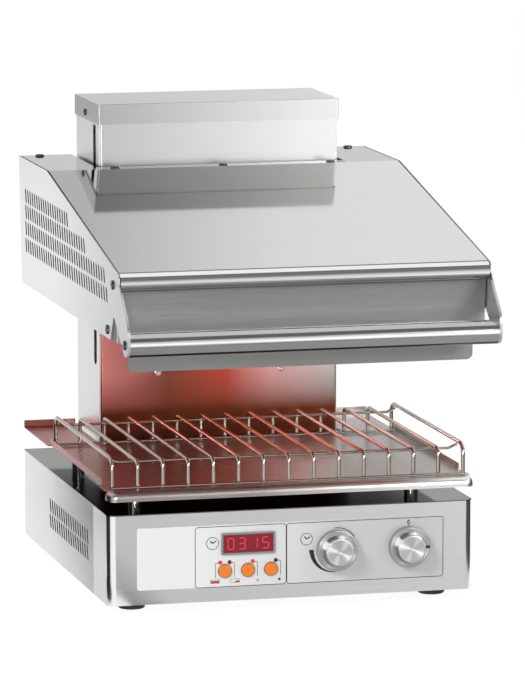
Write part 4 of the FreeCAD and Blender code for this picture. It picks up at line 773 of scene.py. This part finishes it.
def card(name, place, size, turn, bright, axis, stops):
    """A card that only mirrors in the steel. Its tone runs along one of its axes: each stop is a
    place from one edge, 0, to the other, 1, with its tone."""
    deselect()
    turned = [math.radians(angle) for angle in turn]
    bpy.ops.mesh.primitive_plane_add(size=1.0, location=place, rotation=turned)
    sheet = bpy.context.object
    sheet.scale = (size[0], size[1], 1.0)
    sheet.name = name
    finish = new_finish(name, "#000000", 0.0, 1.0)[0]
    spot = add(finish, "ShaderNodeTexCoord", {}, {})
    parts = add(finish, "ShaderNodeSeparateXYZ", {}, {0: spot.outputs["Object"]})
    spread = add(finish, "ShaderNodeMath", {"operation": "ADD", 1: 0.5}, {0: parts.outputs[axis]})
    ramp = add(finish, "ShaderNodeValToRGB", {}, {0: spread.outputs[0]})
    lay_stops(ramp.color_ramp.elements, [(where, (tone, tone, tone, 1.0)) for where, tone in stops])
    glow = add(finish, "ShaderNodeEmission", {"Strength": bright}, {0: ramp.outputs[0]})
    end = finish.node_tree.nodes["Material Output"]
    finish.node_tree.links.new(glow.outputs[0], end.inputs[0])
    sheet.data.materials.append(finish)
    sheet.visible_camera = False
    sheet.visible_diffuse = False
    sheet.visible_shadow = False


# The card in front is bright low down and dark above, which draws the bands on
# the nose and the handle. The one behind grows brighter to the right.
card("card_front", (0.8, -3.0, 4.0), (9.0, 8.0), upright, 1.6, 1,
     [(0.0, 0.62), (0.09, 0.62), (0.17, 0.34), (0.28, 0.13), (0.85, 0.10), (1.0, 0.30)])
card("card_front_low", (0.8, -2.95, 0.11), (3.0, 0.22), upright, 1.6, 0,
     [(0.0, 0.40), (0.42, 0.44), (0.56, 0.78), (0.70, 0.90), (1.0, 0.90)])
card("card_above", (0.87, 3.0, 4.3), (4.4, 2.4), upright, 1.0, 0,
     [(0.0, 0.22), (1.0, 0.28)])
card("card_behind", (0.87, 3.0, 2.15), (2.4, 1.9), upright, 1.4, 0,
     [(0.0, 0.36), (0.36, 0.45), (0.52, 0.70), (0.62, 0.74), (1.0, 0.74)])
card("card_behind_low", (0.87, 3.02, 0.72), (4.4, 1.0), upright, 1.0, 0,
     [(0.0, 0.62), (1.0, 0.72)])
# Cards on the floor and beside the base are what the lower sheets mirror.
card("card_floor", (0.65, -0.755, 0.004), (1.7, 1.09), lying, 1.2, 0,
     [(0.0, 0.18), (0.035, 0.50), (0.365, 0.60), (0.55, 0.80), (1.0, 0.98)])
card("card_floor_far", (0.3, -1.85, 0.004), (2.4, 1.1), lying, 1.0, 0,
     [(0.0, 0.30), (0.50, 0.24), (0.58, 0.18), (0.66, 0.50), (1.0, 0.60)])
card("card_left", (-0.40, 0.08, 0.125), (0.68, 0.25), upright_sideways, 1.0, 0,
     [(0.0, 0.02), (1.0, 0.05)])
card("card_floor_left", (-0.35, -0.14, 0.004), (0.10, 0.28), lying, 1.0, 0,
     [(0.0, 0.03), (1.0, 0.03)])
card("card_right", (0.40, -0.05, 0.125), (0.80, 0.25), upright_sideways, 1.0, 0,
     [(0.0, 0.05), (1.0, 0.08)])
# Two small bright cards draw the cones on the knobs.
card("card_knob_left", (-0.85, -2.5, 0.49), (0.35, 0.35), (90.0, 0.0, -20.0), 50.0, 0,
     [(0.0, 1.0), (1.0, 1.0)])
card("card_knob_right", (1.45, -2.07, 1.09), (0.5, 0.5), (70.0, 0.0, 35.0), 50.0, 0,
     [(0.0, 1.0), (1.0, 1.0)])


# Three soft lamps light the grill from the left, the right and above. They are
# aimed at its middle and don't show in the steel.
def lamp(name, place, size, power):
    """A square soft area lamp pointing at the grill's middle."""
    aim = (0.0, 0.0, 0.3)
    data = bpy.data.lights.new(name, "AREA")
    data.shape = "RECTANGLE"
    data.size = size
    data.size_y = size
    data.energy = power
    item = bpy.data.objects.new(name, data)
    bpy.context.scene.collection.objects.link(item)
    item.location = place
    away = [aim[i] - place[i] for i in range(3)]
    flat = math.hypot(away[0], away[1])
    item.rotation_euler = (math.atan2(flat, -away[2]), 0.0, math.atan2(-away[0], away[1]))
    item.visible_glossy = False


lamp("lamp_left", (-3.0, -2.4, 2.6), 1.2, 110.0)
lamp("lamp_right", (3.2, -1.6, 2.4), 1.6, 30.0)
lamp("lamp_top", (0.0, 0.6, 3.6), 2.4, 40.0)

bpy.context.scene.view_settings.view_transform = "Standard"
